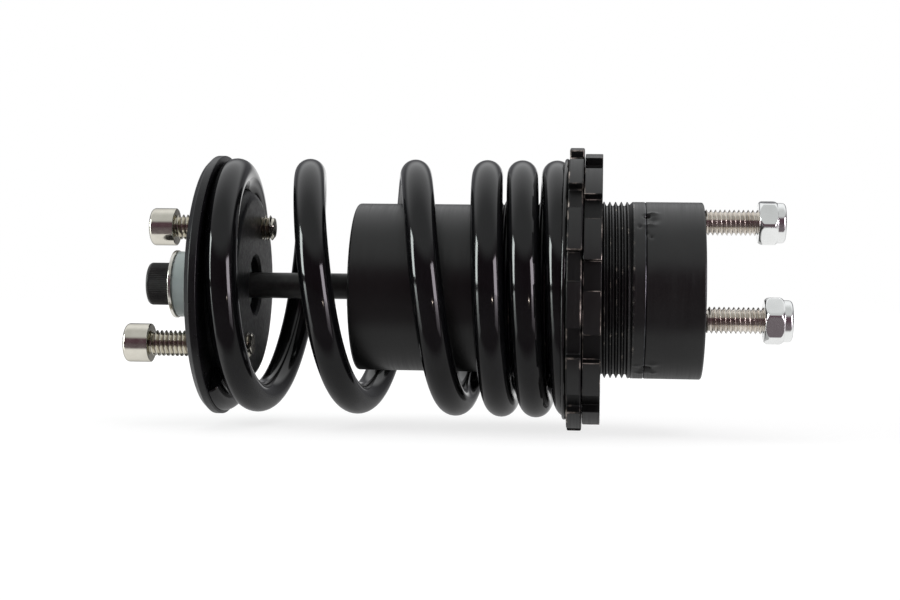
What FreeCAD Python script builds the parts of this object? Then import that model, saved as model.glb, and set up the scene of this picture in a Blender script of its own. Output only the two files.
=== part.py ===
import FreeCAD, Part
import math
import os
import re

import Sketcher

# Coil-over strut lying along X. The origin is the centre of the end cap's outer face,
# +X points out along the mounting studs, -X runs to the top plate and +Z is up.
# Lengths are in millimetres and angles in degrees. A "reach" is a distance from the
# end cap's outer face back along -X.

doc = FreeCAD.newDocument("StrutAssembly")
sheet = doc.addObject("Spreadsheet::Sheet", "Spec")

SIZES = [
    # Damper body
    ("tube_diameter", 51.6, "smooth outside of the tube"),
    ("tube_wall", 3.8, "wall of the tube"),
    ("thread_height", 1.2, "thread's crest and collar above the smooth tube"),
    ("thread_pitch", 1.75, "adjuster thread, right-hand"),
    ("mouth_reach", 105.4, "open end of the tube"),
    ("thread_reach", 63.0, "where the adjuster thread begins"),
    ("seam_reach", 17.4, "joint between the threaded tube and the end cap"),
    ("mouth_chamfer", 0.8, "edge of the tube's mouth"),
    ("thread_lead_in", 1.2, "chamfer at the start of the thread"),
    ("cap_chamfer", 0.7, "edge of the end cap"),
    ("end_wall", 9.0, "thickness of the end cap's bottom"),
    ("spigot_length", 9.6, "part of the end cap inside the tube"),
    ("spigot_wall", 4.0, "wall of that spigot"),
    ("slide_gap", 0.05, "radial clearance of every sliding or running fit"),
    ("press_gap", 0.01, "radial clearance of a pressed-in bush or seal"),
    ("face_gap", 0.1, "clearance between faces that move past each other"),
    # Sealing rings
    ("ring_cord", 2.3, "thickness of every O-ring"),
    ("ring_groove", 2.8, "width of every O-ring groove"),
    ("cap_ring_place", 6.2, "middle of the end cap's O-ring from the seam"),
    # Gland in the tube's mouth
    ("clip_recess", 2.0, "retaining clip behind the tube's mouth"),
    ("clip_thickness", 1.5, "retaining clip"),
    ("clip_depth", 1.0, "depth of the clip's groove in the bore"),
    ("clip_width", 3.6, "radial width of the clip"),
    ("clip_opening", 9.0, "gap between the clip's ends"),
    ("guide_length", 11.0, "rod guide"),
    ("bush_wall", 1.0, "wall of the guide bush"),
    ("wiper_width", 3.0, "radial width of the wiper"),
    ("wiper_depth", 3.0, "pocket of the wiper"),
    ("wiper_lip", 2.0, "how far the wiper's lip stands out of its pocket"),
    ("wiper_tip", 1.2, "thickness of the wiper's lip at its end"),
    ("seal_width", 4.0, "radial width of the rod seal"),
    ("seal_depth", 4.0, "pocket of the rod seal"),
    # Long central screw that is the rod
    ("rod_diameter", 8.0, "shank of the central screw"),
    ("rod_tail", 3.9, "shank past the second nut"),
    ("rod_head_diameter", 13.27, "head of the central screw"),
    ("rod_head_height", 8.0, "head of the central screw"),
    ("rod_key", 6.0, "hexagon key of the central screw"),
    ("rod_head_reach", 163.7, "underside of the central screw's head"),
    ("head_edge", 0.6, "rounding of a screw head"),
    ("rod_tip_chamfer", 1.0, "end of the central screw"),
    ("washer_width", 6.6, "radial width of the washer under the central head"),
    ("washer_thickness", 1.2, "washer under the central head"),
    ("washer_gap", 0.2, "radial clearance of a washer or bushing on the rod"),
    ("bushing_wall", 5.0, "plate's hole outside the rod, filled by the bushing"),
    ("bushing_rim", 1.25, "bushing's outer part past the plate's hole"),
    ("bushing_length", 11.7, "outer part of the bushing"),
    ("bushing_spigot", 9.8, "part of the bushing inside the plate and locator"),
    # Piston group on the rod
    ("stroke", 24.0, "travel of the rod from full droop"),
    ("bumper_diameter", 22.0, "rubber ring that stops the rod at full droop"),
    ("bumper_length", 3.0, "rubber ring that stops the rod at full droop"),
    ("bumper_gap", 0.3, "space between that ring and the rod guide"),
    ("jam_nut_width", 13.0, "across the flats of the nuts beside the piston"),
    ("jam_nut_height", 4.0, "nuts beside the piston"),
    ("shim_thickness", 0.5, "one valve shim"),
    ("shim_diameter", 34.0, "larger valve shim"),
    ("small_shim_diameter", 26.0, "smaller valve shim"),
    ("piston_length", 10.0, "piston"),
    ("piston_clearance", 0.4, "radial clearance of the bare piston"),
    ("band_width", 6.0, "guide band of the piston"),
    ("band_depth", 1.0, "groove of the guide band in the piston"),
    ("port_diameter", 4.0, "oil port through the piston"),
    ("port_circle", 28.0, "circle of the oil ports"),
    ("port_count", 6, "oil ports"),
    # Floating piston
    ("float_gap", 2.0, "space between the floating piston and the end cap's spigot"),
    ("float_length", 8.0, "floating piston"),
    ("float_wall", 4.0, "skirt and crown of the floating piston"),
    # Top plate and spring locator
    ("plate_rim", 0.75, "top plate past the outside of the spring"),
    ("plate_thickness", 3.8, "top plate"),
    ("plate_bevel", 1.5, "bevel of the plate's outer edge"),
    ("plate_recess", 0.4, "recess of the plate round the bushing's outer part"),
    ("recess_gap", 0.4, "radial clearance of the bushing in that recess"),
    ("locator_height", 9.2, "boss that centres the spring"),
    ("locator_gap", 0.3, "radial clearance inside the spring"),
    ("locator_edge", 2.0, "rounding of the boss"),
    ("edge_share", 0.3, "where that rounding turns, as a share of it"),
    ("boss_hole_edge", 0.8, "chamfer of the boss's hole"),
    # Inch screws and studs, five sixteenths with eighteen threads to the inch
    ("bolt_diameter", 7.94, "outside of the thread"),
    ("bolt_thread", 0.37, "depth left off where the thread is engaged and drawn plain"),
    ("core_gap", 0.05, "radial clearance of that core in its hole"),
    ("bolt_hole_gap", 0.33, "radial clearance of a top screw's hole in the plate"),
    ("cap_head_diameter", 11.9, "head of a top screw"),
    ("cap_head_height", 7.94, "head of a top screw"),
    ("cap_key", 6.35, "hexagon key of a top screw"),
    ("top_screw_length", 31.75, "under the head"),
    ("top_screw_inset", 9.1, "middle of a top screw inside the boss's edge"),
    ("top_screw_angle", 62.9, "lower top screw below the -Y side"),
    ("upper_screw_proud", 14.8, "space between the upper head and the plate"),
    ("lower_screw_proud", 17.3, "space between the lower head and the plate"),
    ("bolt_tip_chamfer", 0.8, "end of a screw or stud"),
    ("stud_inset", 5.8, "middle of a stud inside the collar's edge"),
    ("upper_stud_angle", 96.0, "upper stud above the -Y side"),
    ("lower_stud_angle", -24.0, "lower stud above the -Y side"),
    ("stud_neck", 16.9, "stud between the end cap and its nut"),
    ("stud_depth", 8.0, "stud inside the end cap"),
    ("stud_mouth", 0.3, "mouth of a stud's hole past the stud"),
    ("nut_width", 12.7, "across the flats of a stud nut"),
    ("nut_hex_height", 5.8, "hexagon of a stud nut"),
    ("nut_height", 8.2, "whole stud nut"),
    ("nut_collar_wall", 1.05, "wall of a stud nut's round end"),
    ("nut_collar_edge", 0.9, "rounding of that end"),
    ("insert_depth", 2.6, "locking ring inside a stud nut"),
    ("insert_width", 1.5, "radial width of that locking ring"),
    ("insert_lip", 0.4, "rolled edge over the locking ring"),
    ("upper_nut_turn", -20.0, "turn of the upper nut's hexagon"),
    ("lower_nut_turn", 16.0, "turn of the lower nut's hexagon"),
    # Adjuster
    ("lock_ring_reach", 30.4, "outer face of the lock ring"),
    ("lock_ring_rim", 2.0, "lock ring past the outside of the spring"),
    ("lock_ring_thickness", 5.3, "lock ring"),
    ("lock_ring_turn", -9.8, "first tooth of the lock ring above the -Y side"),
    ("adjuster_turns", 5, "turns that both rings can be backed off, to the thread's end"),
    ("ring_gap", 0.3, "space between the two rings"),
    ("adjuster_rim", 3.8, "adjuster ring past the outside of the spring"),
    ("adjuster_thickness", 4.4, "adjuster ring"),
    ("adjuster_turn", -6.4, "first tooth of the adjuster ring above the -Y side"),
    ("notch_width", 8.8, "spanner notch"),
    ("notch_depth", 2.9, "spanner notch"),
    ("notch_count", 12, "spanner notches of one ring"),
    ("ring_chamfer", 0.5, "edges of a ring"),
    ("seat_rim", 0.5, "flange of the spring seat past the outside of the spring"),
    ("seat_wall", 2.65, "wall of the spring seat inside the spring"),
    ("seat_thickness", 1.4, "flange of the spring seat"),
    ("seat_spigot", 4.0, "part of the spring seat inside the spring"),
    # Coil spring
    ("wire_diameter", 9.5, "wire of the spring"),
    ("spring_start_angle", 236.0, "wire's first end, turned about +X from +Y"),
    ("spring_turns", 6.149, "turns of the wire"),
    ("plate_pitch", 8.15, "advance of a turn at the plate"),
    ("base_pitch", 10.6, "advance of a turn at the spring seat"),
    ("plate_grind", 1.37, "wire's centre past the ground face at the plate"),
    ("base_grind", 3.3, "wire's centre past the ground face at the seat"),
    ("open_from", 0.479, "turn where the coils begin to open"),
    ("open_by", 1.539, "turn where the coils are open"),
    ("close_from", 2.419, "turn where the coils begin to close"),
    ("close_by", 3.839, "turn where the coils are close"),
]

# Places that follow from the sizes, each a distance from the end cap's outer face
PLACES = [
    ("tube_bore", "tube_diameter - 2 * tube_wall"),
    ("thread_diameter", "tube_diameter + 2 * thread_height"),
    ("stud_circle", "thread_diameter - 2 * stud_inset"),
    ("bush_diameter", "rod_diameter + 2 * bush_wall"),
    ("wiper_diameter", "rod_diameter + 2 * wiper_width"),
    ("seal_diameter", "rod_diameter + 2 * seal_width"),
    ("washer_diameter", "rod_diameter + 2 * washer_width"),
    ("plate_hole", "rod_diameter + 2 * bushing_wall"),
    ("bushing_diameter", "plate_hole + 2 * bushing_rim"),
    ("bolt_core", "bolt_diameter - 2 * bolt_thread"),
    ("bolt_hole", "bolt_diameter + 2 * bolt_hole_gap"),
    ("insert_diameter", "bolt_core + 2 * insert_width"),
    ("nut_collar_diameter", "insert_diameter + 2 * nut_collar_wall"),
    ("seat_bore", "thread_diameter + 2 * slide_gap"),
    ("locator_diameter", "seat_bore + 2 * seat_wall"),
    ("top_screw_circle", "locator_diameter - 2 * top_screw_inset"),
    ("spring_bore", "locator_diameter + 2 * locator_gap"),
    ("spring_outside", "spring_bore + 2 * wire_diameter"),
    ("plate_diameter", "spring_outside + 2 * plate_rim"),
    ("seat_diameter", "spring_outside + 2 * seat_rim"),
    ("adjuster_diameter", "spring_outside + 2 * adjuster_rim"),
    ("lock_ring_diameter", "spring_outside + 2 * lock_ring_rim"),
    ("cap_ring_reach", "seam_reach + cap_ring_place"),
    ("float_reach", "seam_reach + spigot_length + float_gap + float_length"),
    ("clip_reach", "mouth_reach - clip_recess"),
    ("thread_radius", "thread_diameter / 2"),
    ("bore_radius", "tube_bore / 2"),
    ("fit_radius", "tube_bore / 2 - slide_gap"),
    ("groove_floor", "tube_bore / 2 - slide_gap - ring_cord"),
    ("guide_reach", "clip_reach - clip_thickness"),
    ("guide_end", "guide_reach - guide_length"),
    ("bumper_reach", "guide_end - bumper_gap"),
    ("first_nut_reach", "bumper_reach - bumper_length"),
    ("first_shim_reach", "first_nut_reach - jam_nut_height"),
    ("piston_reach", "first_shim_reach - 2 * shim_thickness"),
    ("second_shim_reach", "piston_reach - piston_length"),
    ("second_nut_reach", "second_shim_reach - 2 * shim_thickness"),
    ("rod_length", "rod_head_reach - second_nut_reach + jam_nut_height + rod_tail"),
    ("plate_reach", "rod_head_reach - washer_thickness - bushing_length - face_gap + plate_recess"),
    ("recess_radius", "bushing_diameter / 2 + recess_gap"),
    ("plate_face", "plate_reach - plate_thickness"),
    ("locator_face", "plate_face - locator_height"),
    ("adjuster_reach", "lock_ring_reach + lock_ring_thickness + ring_gap"),
    ("seat_reach", "adjuster_reach + adjuster_thickness + face_gap"),
    ("seat_face", "seat_reach + seat_thickness"),
    ("bolt_tap", "bolt_core / 2 + core_gap"),
    ("mouth_radius", "bolt_diameter / 2 + stud_mouth"),
]


def fill_sheet():
    """The driving sizes as plain numbers, then the places worked out from them."""
    row = 1
    for alias, number, meaning in SIZES:
        sheet.set("A%d" % row, alias)
        sheet.set("B%d" % row, str(number))
        sheet.set("C%d" % row, meaning)
        sheet.setAlias("B%d" % row, alias)
        row += 1
    for alias, formula in PLACES:
        sheet.set("A%d" % row, alias)
        sheet.setAlias("B%d" % row, alias)
        sheet.set("B%d" % row, "=" + formula)
        row += 1
    doc.recompute()


fill_sheet()
SPEC_WORDS = {alias[0]: "Spec." + alias[0] for alias in SIZES + PLACES}
NODES = {}


def size(alias):
    return float(sheet.get(alias))


def bound(formula):
    """A formula in the sheet's own words, as an expression for another object."""
    return re.sub(r"[a-z_]+", lambda found: SPEC_WORDS.get(found.group(), found.group()), formula)


def bind(thing, prop, formula):
    thing.setExpression(prop, bound(formula))


def place_along(thing, x, y="0", z="0", turn=None):
    """Puts a thing at x, y, z, with its own Z axis laid along +X where turn is None."""
    if turn is None:
        turn = FreeCAD.Rotation(FreeCAD.Vector(0, 1, 0), 90)
    thing.Placement = FreeCAD.Placement(FreeCAD.Vector(0, 0, 0), turn)
    bind(thing, "Placement.Base.x", x)
    bind(thing, "Placement.Base.y", y)
    bind(thing, "Placement.Base.z", z)
    return thing


def node(name, thing):
    thing.Label = name
    NODES[name] = thing
    return thing


def origin_plane(body, role):
    return [f for f in body.Origin.OriginFeatures if f.Role == role][0]


def outline(sketch, corners):
    """A closed outline through corners given as pairs of formulas, x then radius."""
    count = len(corners)
    spots = []
    for i in range(count):
        angle = 2 * math.pi * i / count
        spots.append(FreeCAD.Vector(40 + 10 * math.cos(angle), 40 + 10 * math.sin(angle), 0))
    for i in range(count):
        sketch.addGeometry(Part.LineSegment(spots[i], spots[(i + 1) % count]), False)
    for i in range(count):
        sketch.addConstraint(Sketcher.Constraint("Coincident", i, 2, (i + 1) % count, 1))
    for i, (x, radius) in enumerate(corners):
        for kind, formula, axis in (("DistanceX", x, -2), ("DistanceY", radius, -1)):
            if formula == "0":
                sketch.addConstraint(Sketcher.Constraint("PointOnObject", i, 1, axis))
                continue
            which = sketch.addConstraint(Sketcher.Constraint(kind, -1, 1, i, 1, 40.0))
            sketch.setExpression("Constraints[%d]" % which, bound(formula))


def turned(name, x, corners):
    """A body turned about the strut's axis. Its corners are measured from x towards +X."""
    body = doc.addObject("PartDesign::Body", name)
    sketch = body.newObject("Sketcher::SketchObject", name + "_profile")
    sketch.AttachmentSupport = [(origin_plane(body, "XY_Plane"), "")]
    sketch.MapMode = "FlatFace"
    outline(sketch, corners)
    doc.recompute()
    turn = body.newObject("PartDesign::Revolution", name + "_turn")
    turn.Profile = sketch
    turn.ReferenceAxis = (sketch, ["H_Axis"])
    turn.Angle = 360
    sketch.Visibility = False
    bind(body, "Placement.Base.x", x)
    doc.recompute()
    return body


def ring_corners(length, inner, outer):
    return [("0", inner), ("0", outer), (length, outer), (length, inner)]


def cylinder(name, radius, length, x, y="0", z="0"):
    made = doc.addObject("Part::Cylinder", name)
    bind(made, "Radius", radius)
    bind(made, "Height", length)
    return place_along(made, x, y, z)


def cone(name, first, second, length, x, y, z):
    """A cone along +X from the radius first to the radius second."""
    made = doc.addObject("Part::Cone", name)
    bind(made, "Radius1", first)
    bind(made, "Radius2", second)
    bind(made, "Height", length)
    return place_along(made, x, y, z)


def hexagon(name, width, length, x, y="0", z="0", turn="0"):
    """A hexagonal bar along +X. At no turn it has a corner towards +Z and -Z."""
    made = doc.addObject("Part::Prism", name)
    made.Polygon = 6
    bind(made, "Circumradius", "(%s) / sqrt(3)" % width)
    bind(made, "Height", length)
    place_along(made, x, y, z)
    spin = FreeCAD.Rotation(FreeCAD.Vector(1, 0, 0), float(sheet.get(turn)) if turn != "0" else 0)
    made.Placement = FreeCAD.Placement(made.Placement.Base, spin * made.Placement.Rotation)
    return made


def cut(name, base, tool):
    made = doc.addObject("Part::Cut", name)
    made.Base = base
    made.Tool = tool
    return made


def fused(name, pieces):
    made = doc.addObject("Part::MultiFuse", name)
    made.Shapes = pieces
    return made


def group(name, pieces):
    made = doc.addObject("Part::Compound", name)
    made.Links = pieces
    return node(name, made)


def o_ring(name, reach):
    """A sealing ring that lies in its groove and just reaches the tube's bore."""
    made = doc.addObject("Part::Torus", name)
    bind(made, "Radius1", "bore_radius - slide_gap - ring_cord / 2")
    bind(made, "Radius2", "ring_cord / 2 - slide_gap / 2")
    place_along(made, "-(%s)" % reach)
    return node(name, made)


def threaded_body():
    """Tube with a smooth outside, then the adjuster thread's crest down to the seam."""
    length = "mouth_reach - seam_reach"
    thread = "mouth_reach - thread_reach"
    clip = "mouth_reach - clip_reach"
    clip_end = "mouth_reach - clip_reach + clip_thickness + face_gap"
    return node("threaded_body", turned("threaded_body", "- mouth_reach", [
        ("0", "bore_radius + mouth_chamfer / 2"),
        ("0", "tube_diameter / 2 - mouth_chamfer"),
        ("mouth_chamfer", "tube_diameter / 2"),
        (thread, "tube_diameter / 2"),
        (thread + " + thread_lead_in", "thread_radius"),
        (length, "thread_radius"),
        (length, "bore_radius"),
        (clip_end, "bore_radius"),
        (clip_end, "bore_radius + clip_depth"),
        (clip, "bore_radius + clip_depth"),
        (clip, "bore_radius"),
        ("mouth_chamfer / 2", "bore_radius"),
    ]))


def stud_place(which):
    across = "- stud_circle / 2 * cos(%s_stud_angle * 1 deg)" % which
    up = "stud_circle / 2 * sin(%s_stud_angle * 1 deg)" % which
    return across, up


def end_cap():
    """Collar with a closed bottom, a spigot in the tube and two tapped stud holes."""
    start = "seam_reach + spigot_length"
    groove = "seam_reach + spigot_length - cap_ring_reach"
    body = turned("end_cap", "-(seam_reach + spigot_length)", [
        ("0", "fit_radius - spigot_wall"),
        ("0", "fit_radius"),
        (groove + " - ring_groove / 2", "fit_radius"),
        (groove + " - ring_groove / 2", "groove_floor"),
        (groove + " + ring_groove / 2", "groove_floor"),
        (groove + " + ring_groove / 2", "fit_radius"),
        ("spigot_length", "fit_radius"),
        ("spigot_length", "thread_radius"),
        (start + " - cap_chamfer", "thread_radius"),
        (start, "thread_radius - cap_chamfer"),
        (start, "0"),
        (start + " - end_wall", "0"),
        (start + " - end_wall", "fit_radius - spigot_wall"),
    ])
    holes = []
    for which in ("upper", "lower"):
        y, z = stud_place(which)
        holes.append(cylinder(which + "_stud_hole", "bolt_tap", "stud_depth + core_gap",
                              "- stud_depth - core_gap", y, z))
        holes.append(cone(which + "_stud_mouth", "bolt_tap", "mouth_radius",
                          "mouth_radius - bolt_tap", "bolt_tap - mouth_radius", y, z))
    return node("end_cap", cut("end_cap_drilled", body, fused("stud_holes", holes)))


def gland():
    """Rod guide with its bush, seals, O-ring and the clip that holds it in."""
    length = "guide_length"
    bush = "bush_diameter / 2 + press_gap"
    node("rod_guide", turned("rod_guide", "- guide_reach", [
        ("0", "wiper_diameter / 2"),
        ("0", "fit_radius"),
        (length + " / 2 - ring_groove / 2", "fit_radius"),
        (length + " / 2 - ring_groove / 2", "groove_floor"),
        (length + " / 2 + ring_groove / 2", "groove_floor"),
        (length + " / 2 + ring_groove / 2", "fit_radius"),
        (length, "fit_radius"),
        (length, "seal_diameter / 2"),
        (length + " - seal_depth", "seal_diameter / 2"),
        (length + " - seal_depth", bush),
        ("wiper_depth", bush),
        ("wiper_depth", "wiper_diameter / 2"),
    ]))
    o_ring("guide_o_ring", "guide_reach - guide_length / 2")
    running = "rod_diameter / 2 + slide_gap"
    node("guide_bush", turned("guide_bush", "- guide_reach + wiper_depth", ring_corners(
        "guide_length - wiper_depth - seal_depth", running, "bush_diameter / 2")))
    node("rod_seal", turned("rod_seal", "- guide_end - seal_depth", ring_corners(
        "seal_depth - face_gap", running, "seal_diameter / 2 - press_gap")))
    node("wiper_seal", turned("wiper_seal", "- guide_reach - wiper_lip", [
        ("0", running),
        ("0", "rod_diameter / 2 + wiper_tip"),
        ("wiper_lip", "wiper_diameter / 2 - wiper_lip / 2"),
        ("wiper_lip", "wiper_diameter / 2 - press_gap"),
        ("wiper_lip + wiper_depth", "wiper_diameter / 2 - press_gap"),
        ("wiper_lip + wiper_depth", running),
    ]))
    ring = turned("clip_ring", "- clip_reach", ring_corners(
        "clip_thickness", "bore_radius + clip_depth - slide_gap - clip_width",
        "bore_radius + clip_depth - slide_gap"))
    opening = doc.addObject("Part::Box", "clip_opening_block")
    bind(opening, "Length", "clip_thickness * 2")
    bind(opening, "Width", "clip_opening")
    bind(opening, "Height", "tube_bore")
    place_along(opening, "- clip_reach - clip_thickness / 2", "- clip_opening / 2", "0",
                FreeCAD.Rotation())
    node("retaining_clip", cut("clip_open", ring, opening))


def central_screw():
    """Long socket-head screw: its head holds the top down and its shank is the rod."""
    head = turned("rod_head", "- rod_head_reach - rod_head_height", [
        ("0", "0"),
        ("0", "rod_head_diameter / 2 - head_edge"),
        ("head_edge", "rod_head_diameter / 2"),
        ("rod_head_height", "rod_head_diameter / 2"),
        ("rod_head_height", "rod_diameter / 2"),
        ("rod_head_height + rod_length - rod_tip_chamfer", "rod_diameter / 2"),
        ("rod_head_height + rod_length", "rod_diameter / 2 - rod_tip_chamfer"),
        ("rod_head_height + rod_length", "0"),
    ])
    socket = hexagon("rod_socket", "rod_key", "rod_head_height / 2",
                     "- rod_head_reach - rod_head_height")
    node("centre_screw", cut("rod_screw", head, socket))
    around = "rod_diameter / 2 + washer_gap"
    node("centre_washer", turned("centre_washer", "- rod_head_reach", ring_corners(
        "washer_thickness", around, "washer_diameter / 2")))
    spigot = "plate_hole / 2 - slide_gap"
    node("nylon_bushing", turned("nylon_bushing", "- rod_head_reach + washer_thickness", [
        ("0", "rod_diameter / 2 + slide_gap"),
        ("0", "bushing_diameter / 2"),
        ("bushing_length", "bushing_diameter / 2"),
        ("bushing_length", spigot),
        ("bushing_length + bushing_spigot", spigot),
        ("bushing_length + bushing_spigot", "rod_diameter / 2 + slide_gap"),
    ]))


def jam_nut(name, x):
    """Thin hexagon nut, its corners turned down a little at both ends."""
    bar = hexagon(name + "_bar", "jam_nut_width", "jam_nut_height", x)
    bore = cylinder(name + "_bore", "rod_diameter / 2 + core_gap", "jam_nut_height", x)
    return cut(name, bar, bore)


def piston_group():
    """Bumper, nuts, shims, piston and guide band on the screw's inner end."""
    on_rod = "rod_diameter / 2 + core_gap"
    node("rebound_bumper", turned("rebound_bumper", "- bumper_reach", ring_corners(
        "bumper_length", on_rod, "bumper_diameter / 2")))
    group("piston_nuts", [jam_nut("first_jam_nut", "- first_nut_reach"),
                          jam_nut("second_jam_nut", "- second_nut_reach")])
    for name, reach, first, second in (
        ("rebound_shims", "first_shim_reach", "small_shim_diameter", "shim_diameter"),
        ("compression_shims", "second_shim_reach", "shim_diameter", "small_shim_diameter"),
    ):
        shims = []
        for i, diameter in enumerate((first, second)):
            shims.append(turned("%s_%d" % (name, i + 1),
                                "- %s + %d * shim_thickness" % (reach, i),
                                ring_corners("shim_thickness", on_rod, diameter + " / 2")))
        group(name, shims)
    outer = "bore_radius - piston_clearance"
    floor = "bore_radius - piston_clearance - band_depth"
    middle = "piston_length / 2"
    body = turned("piston", "- piston_reach", [
        ("0", on_rod),
        ("0", outer),
        (middle + " - band_width / 2", outer),
        (middle + " - band_width / 2", floor),
        (middle + " + band_width / 2", floor),
        (middle + " + band_width / 2", outer),
        ("piston_length", outer),
        ("piston_length", on_rod),
    ])
    sketch = body.newObject("Sketcher::SketchObject", "port_sketch")
    sketch.AttachmentSupport = [(origin_plane(body, "YZ_Plane"), "")]
    sketch.MapMode = "FlatFace"
    sketch.addGeometry(Part.Circle(FreeCAD.Vector(14, 0, 0), FreeCAD.Vector(0, 0, 1), 2), False)
    sketch.addConstraint(Sketcher.Constraint("PointOnObject", 0, 3, -1))
    place = sketch.addConstraint(Sketcher.Constraint("DistanceX", -1, 1, 0, 3, 14.0))
    width = sketch.addConstraint(Sketcher.Constraint("Diameter", 0, 4.0))
    sketch.setExpression("Constraints[%d]" % place, bound("port_circle / 2"))
    sketch.setExpression("Constraints[%d]" % width, bound("port_diameter"))
    doc.recompute()
    before = body.Shape.Volume
    port = body.newObject("PartDesign::Pocket", "port")
    port.Profile = sketch
    port.Type = "ThroughAll"
    port.Reversed = True
    sketch.Visibility = False
    doc.recompute()
    ports = body.newObject("PartDesign::PolarPattern", "ports")
    ports.Originals = [port]
    ports.Axis = (sketch, ["N_Axis"])
    ports.Angle = 360
    bind(ports, "Occurrences", "port_count")
    body.Tip = ports
    doc.recompute()
    one_port = math.pi * size("port_diameter") ** 2 / 4 * size("piston_length")
    drilled = before - body.Shape.Volume
    if abs(drilled - size("port_count") * one_port) > one_port * 0.02:
        raise RuntimeError("the oil ports cut %.1f mm3" % drilled)
    node("piston", body)
    band_start = "- piston_reach + piston_length / 2 - band_width / 2 + face_gap"
    node("piston_band", turned("piston_band", band_start, ring_corners(
        "band_width - 2 * face_gap", floor + " + press_gap", "fit_radius")))


def floating_piston():
    """Cup that parts the oil from the gas, open towards the end cap."""
    outer = "bore_radius - piston_clearance"
    middle = "float_length / 2"
    node("floating_piston", turned("floating_piston", "- float_reach", [
        ("0", "0"),
        ("0", outer),
        (middle + " - ring_groove / 2", outer),
        (middle + " - ring_groove / 2", "groove_floor"),
        (middle + " + ring_groove / 2", "groove_floor"),
        (middle + " + ring_groove / 2", outer),
        ("float_length", outer),
        ("float_length", outer + " - float_wall"),
        ("float_wall", outer + " - float_wall"),
        ("float_wall", "0"),
    ]))
    o_ring("floating_piston_o_ring", "float_reach - float_length / 2")


def screw_place(which):
    side = "1" if which == "lower" else "-1"
    across = "- %s * top_screw_circle / 2 * cos(top_screw_angle * 1 deg)" % side
    up = "- %s * top_screw_circle / 2 * sin(top_screw_angle * 1 deg)" % side
    return across, up


def top_perch():
    """Top plate, the boss that centres the spring and the two screws through both."""
    plate = turned("plate_blank", "- plate_reach", [
        ("plate_recess", "plate_hole / 2"),
        ("plate_recess", "recess_radius"),
        ("0", "recess_radius"),
        ("0", "plate_diameter / 2 - plate_bevel"),
        ("plate_bevel", "plate_diameter / 2"),
        ("plate_thickness - ring_chamfer", "plate_diameter / 2"),
        ("plate_thickness", "plate_diameter / 2 - ring_chamfer"),
        ("plate_thickness", "plate_hole / 2"),
    ])
    edge = "locator_edge"
    boss = turned("locator_blank", "- plate_face", [
        ("0", "plate_hole / 2"),
        ("0", "locator_diameter / 2"),
        ("locator_height - " + edge, "locator_diameter / 2"),
        ("locator_height - edge_share * " + edge, "locator_diameter / 2 - edge_share * " + edge),
        ("locator_height", "locator_diameter / 2 - " + edge),
        ("locator_height", "plate_hole / 2 + boss_hole_edge"),
        ("locator_height - boss_hole_edge", "plate_hole / 2"),
    ])
    plate_holes = []
    boss_holes = []
    screws = []
    for which in ("upper", "lower"):
        y, z = screw_place(which)
        plate_holes.append(cylinder(which + "_plate_hole", "bolt_hole / 2",
                                    "plate_thickness", "- plate_reach", y, z))
        boss_holes.append(cylinder(which + "_boss_hole", "bolt_tap",
                                   "locator_height", "- plate_face", y, z))
        screws.append(top_screw(which, y, z))
    node("top_plate", cut("plate_drilled", plate, fused("plate_holes", plate_holes)))
    node("spring_locator", cut("locator_drilled", boss, fused("locator_holes", boss_holes)))
    group("top_screws", screws)


def top_screw(which, y, z):
    """Socket-head screw: full thread outside, its core inside the plate and boss."""
    under = "(plate_reach + %s_screw_proud)" % which
    tip = "(%s - top_screw_length)" % under
    body = turned(which + "_screw", "- %s - cap_head_height" % under, [
        ("0", "0"),
        ("0", "cap_head_diameter / 2 - head_edge"),
        ("head_edge", "cap_head_diameter / 2"),
        ("cap_head_height", "cap_head_diameter / 2"),
        ("cap_head_height", "bolt_diameter / 2"),
        ("cap_head_height + %s_screw_proud" % which, "bolt_diameter / 2"),
        ("cap_head_height + %s_screw_proud" % which, "bolt_core / 2"),
        ("cap_head_height + %s - locator_face" % under, "bolt_core / 2"),
        ("cap_head_height + %s - locator_face" % under, "bolt_diameter / 2"),
        ("cap_head_height + %s - %s - bolt_tip_chamfer / 2" % (under, tip), "bolt_diameter / 2"),
        ("cap_head_height + %s - %s" % (under, tip), "bolt_diameter / 2 - bolt_tip_chamfer / 2"),
        ("cap_head_height + %s - %s" % (under, tip), "0"),
    ])
    bind(body, "Placement.Base.y", y)
    bind(body, "Placement.Base.z", z)
    socket = hexagon(which + "_socket", "cap_key", "cap_head_height / 2",
                     "- %s - cap_head_height" % under, y, z)
    return cut(which + "_top_screw", body, socket)


def studs_and_nuts():
    """Two studs in the end cap, each with a nut that holds a locking ring."""
    studs = []
    nuts = []
    inserts = []
    for which in ("upper", "lower"):
        y, z = stud_place(which)
        end = "stud_depth + stud_neck + nut_height - insert_lip"
        stud = turned(which + "_stud", "- stud_depth", [
            ("0", "0"),
            ("0", "bolt_core / 2"),
            ("stud_depth", "bolt_core / 2"),
            ("stud_depth", "bolt_diameter / 2"),
            ("stud_depth + stud_neck", "bolt_diameter / 2"),
            ("stud_depth + stud_neck", "bolt_core / 2"),
            (end + " - bolt_tip_chamfer", "bolt_core / 2"),
            (end, "bolt_core / 2 - bolt_tip_chamfer"),
            (end, "0"),
        ])
        insert = turned(which + "_insert", "stud_neck + nut_height - insert_lip - insert_depth",
                        ring_corners("insert_depth", "bolt_tap", "insert_diameter / 2"))
        for body in (stud, insert):
            bind(body, "Placement.Base.y", y)
            bind(body, "Placement.Base.z", z)
        studs.append(stud)
        inserts.append(insert)
        nuts.append(lock_nut(which, y, z))
    group("mounting_studs", studs)
    group("stud_nuts", nuts)
    group("nut_inserts", inserts)


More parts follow.
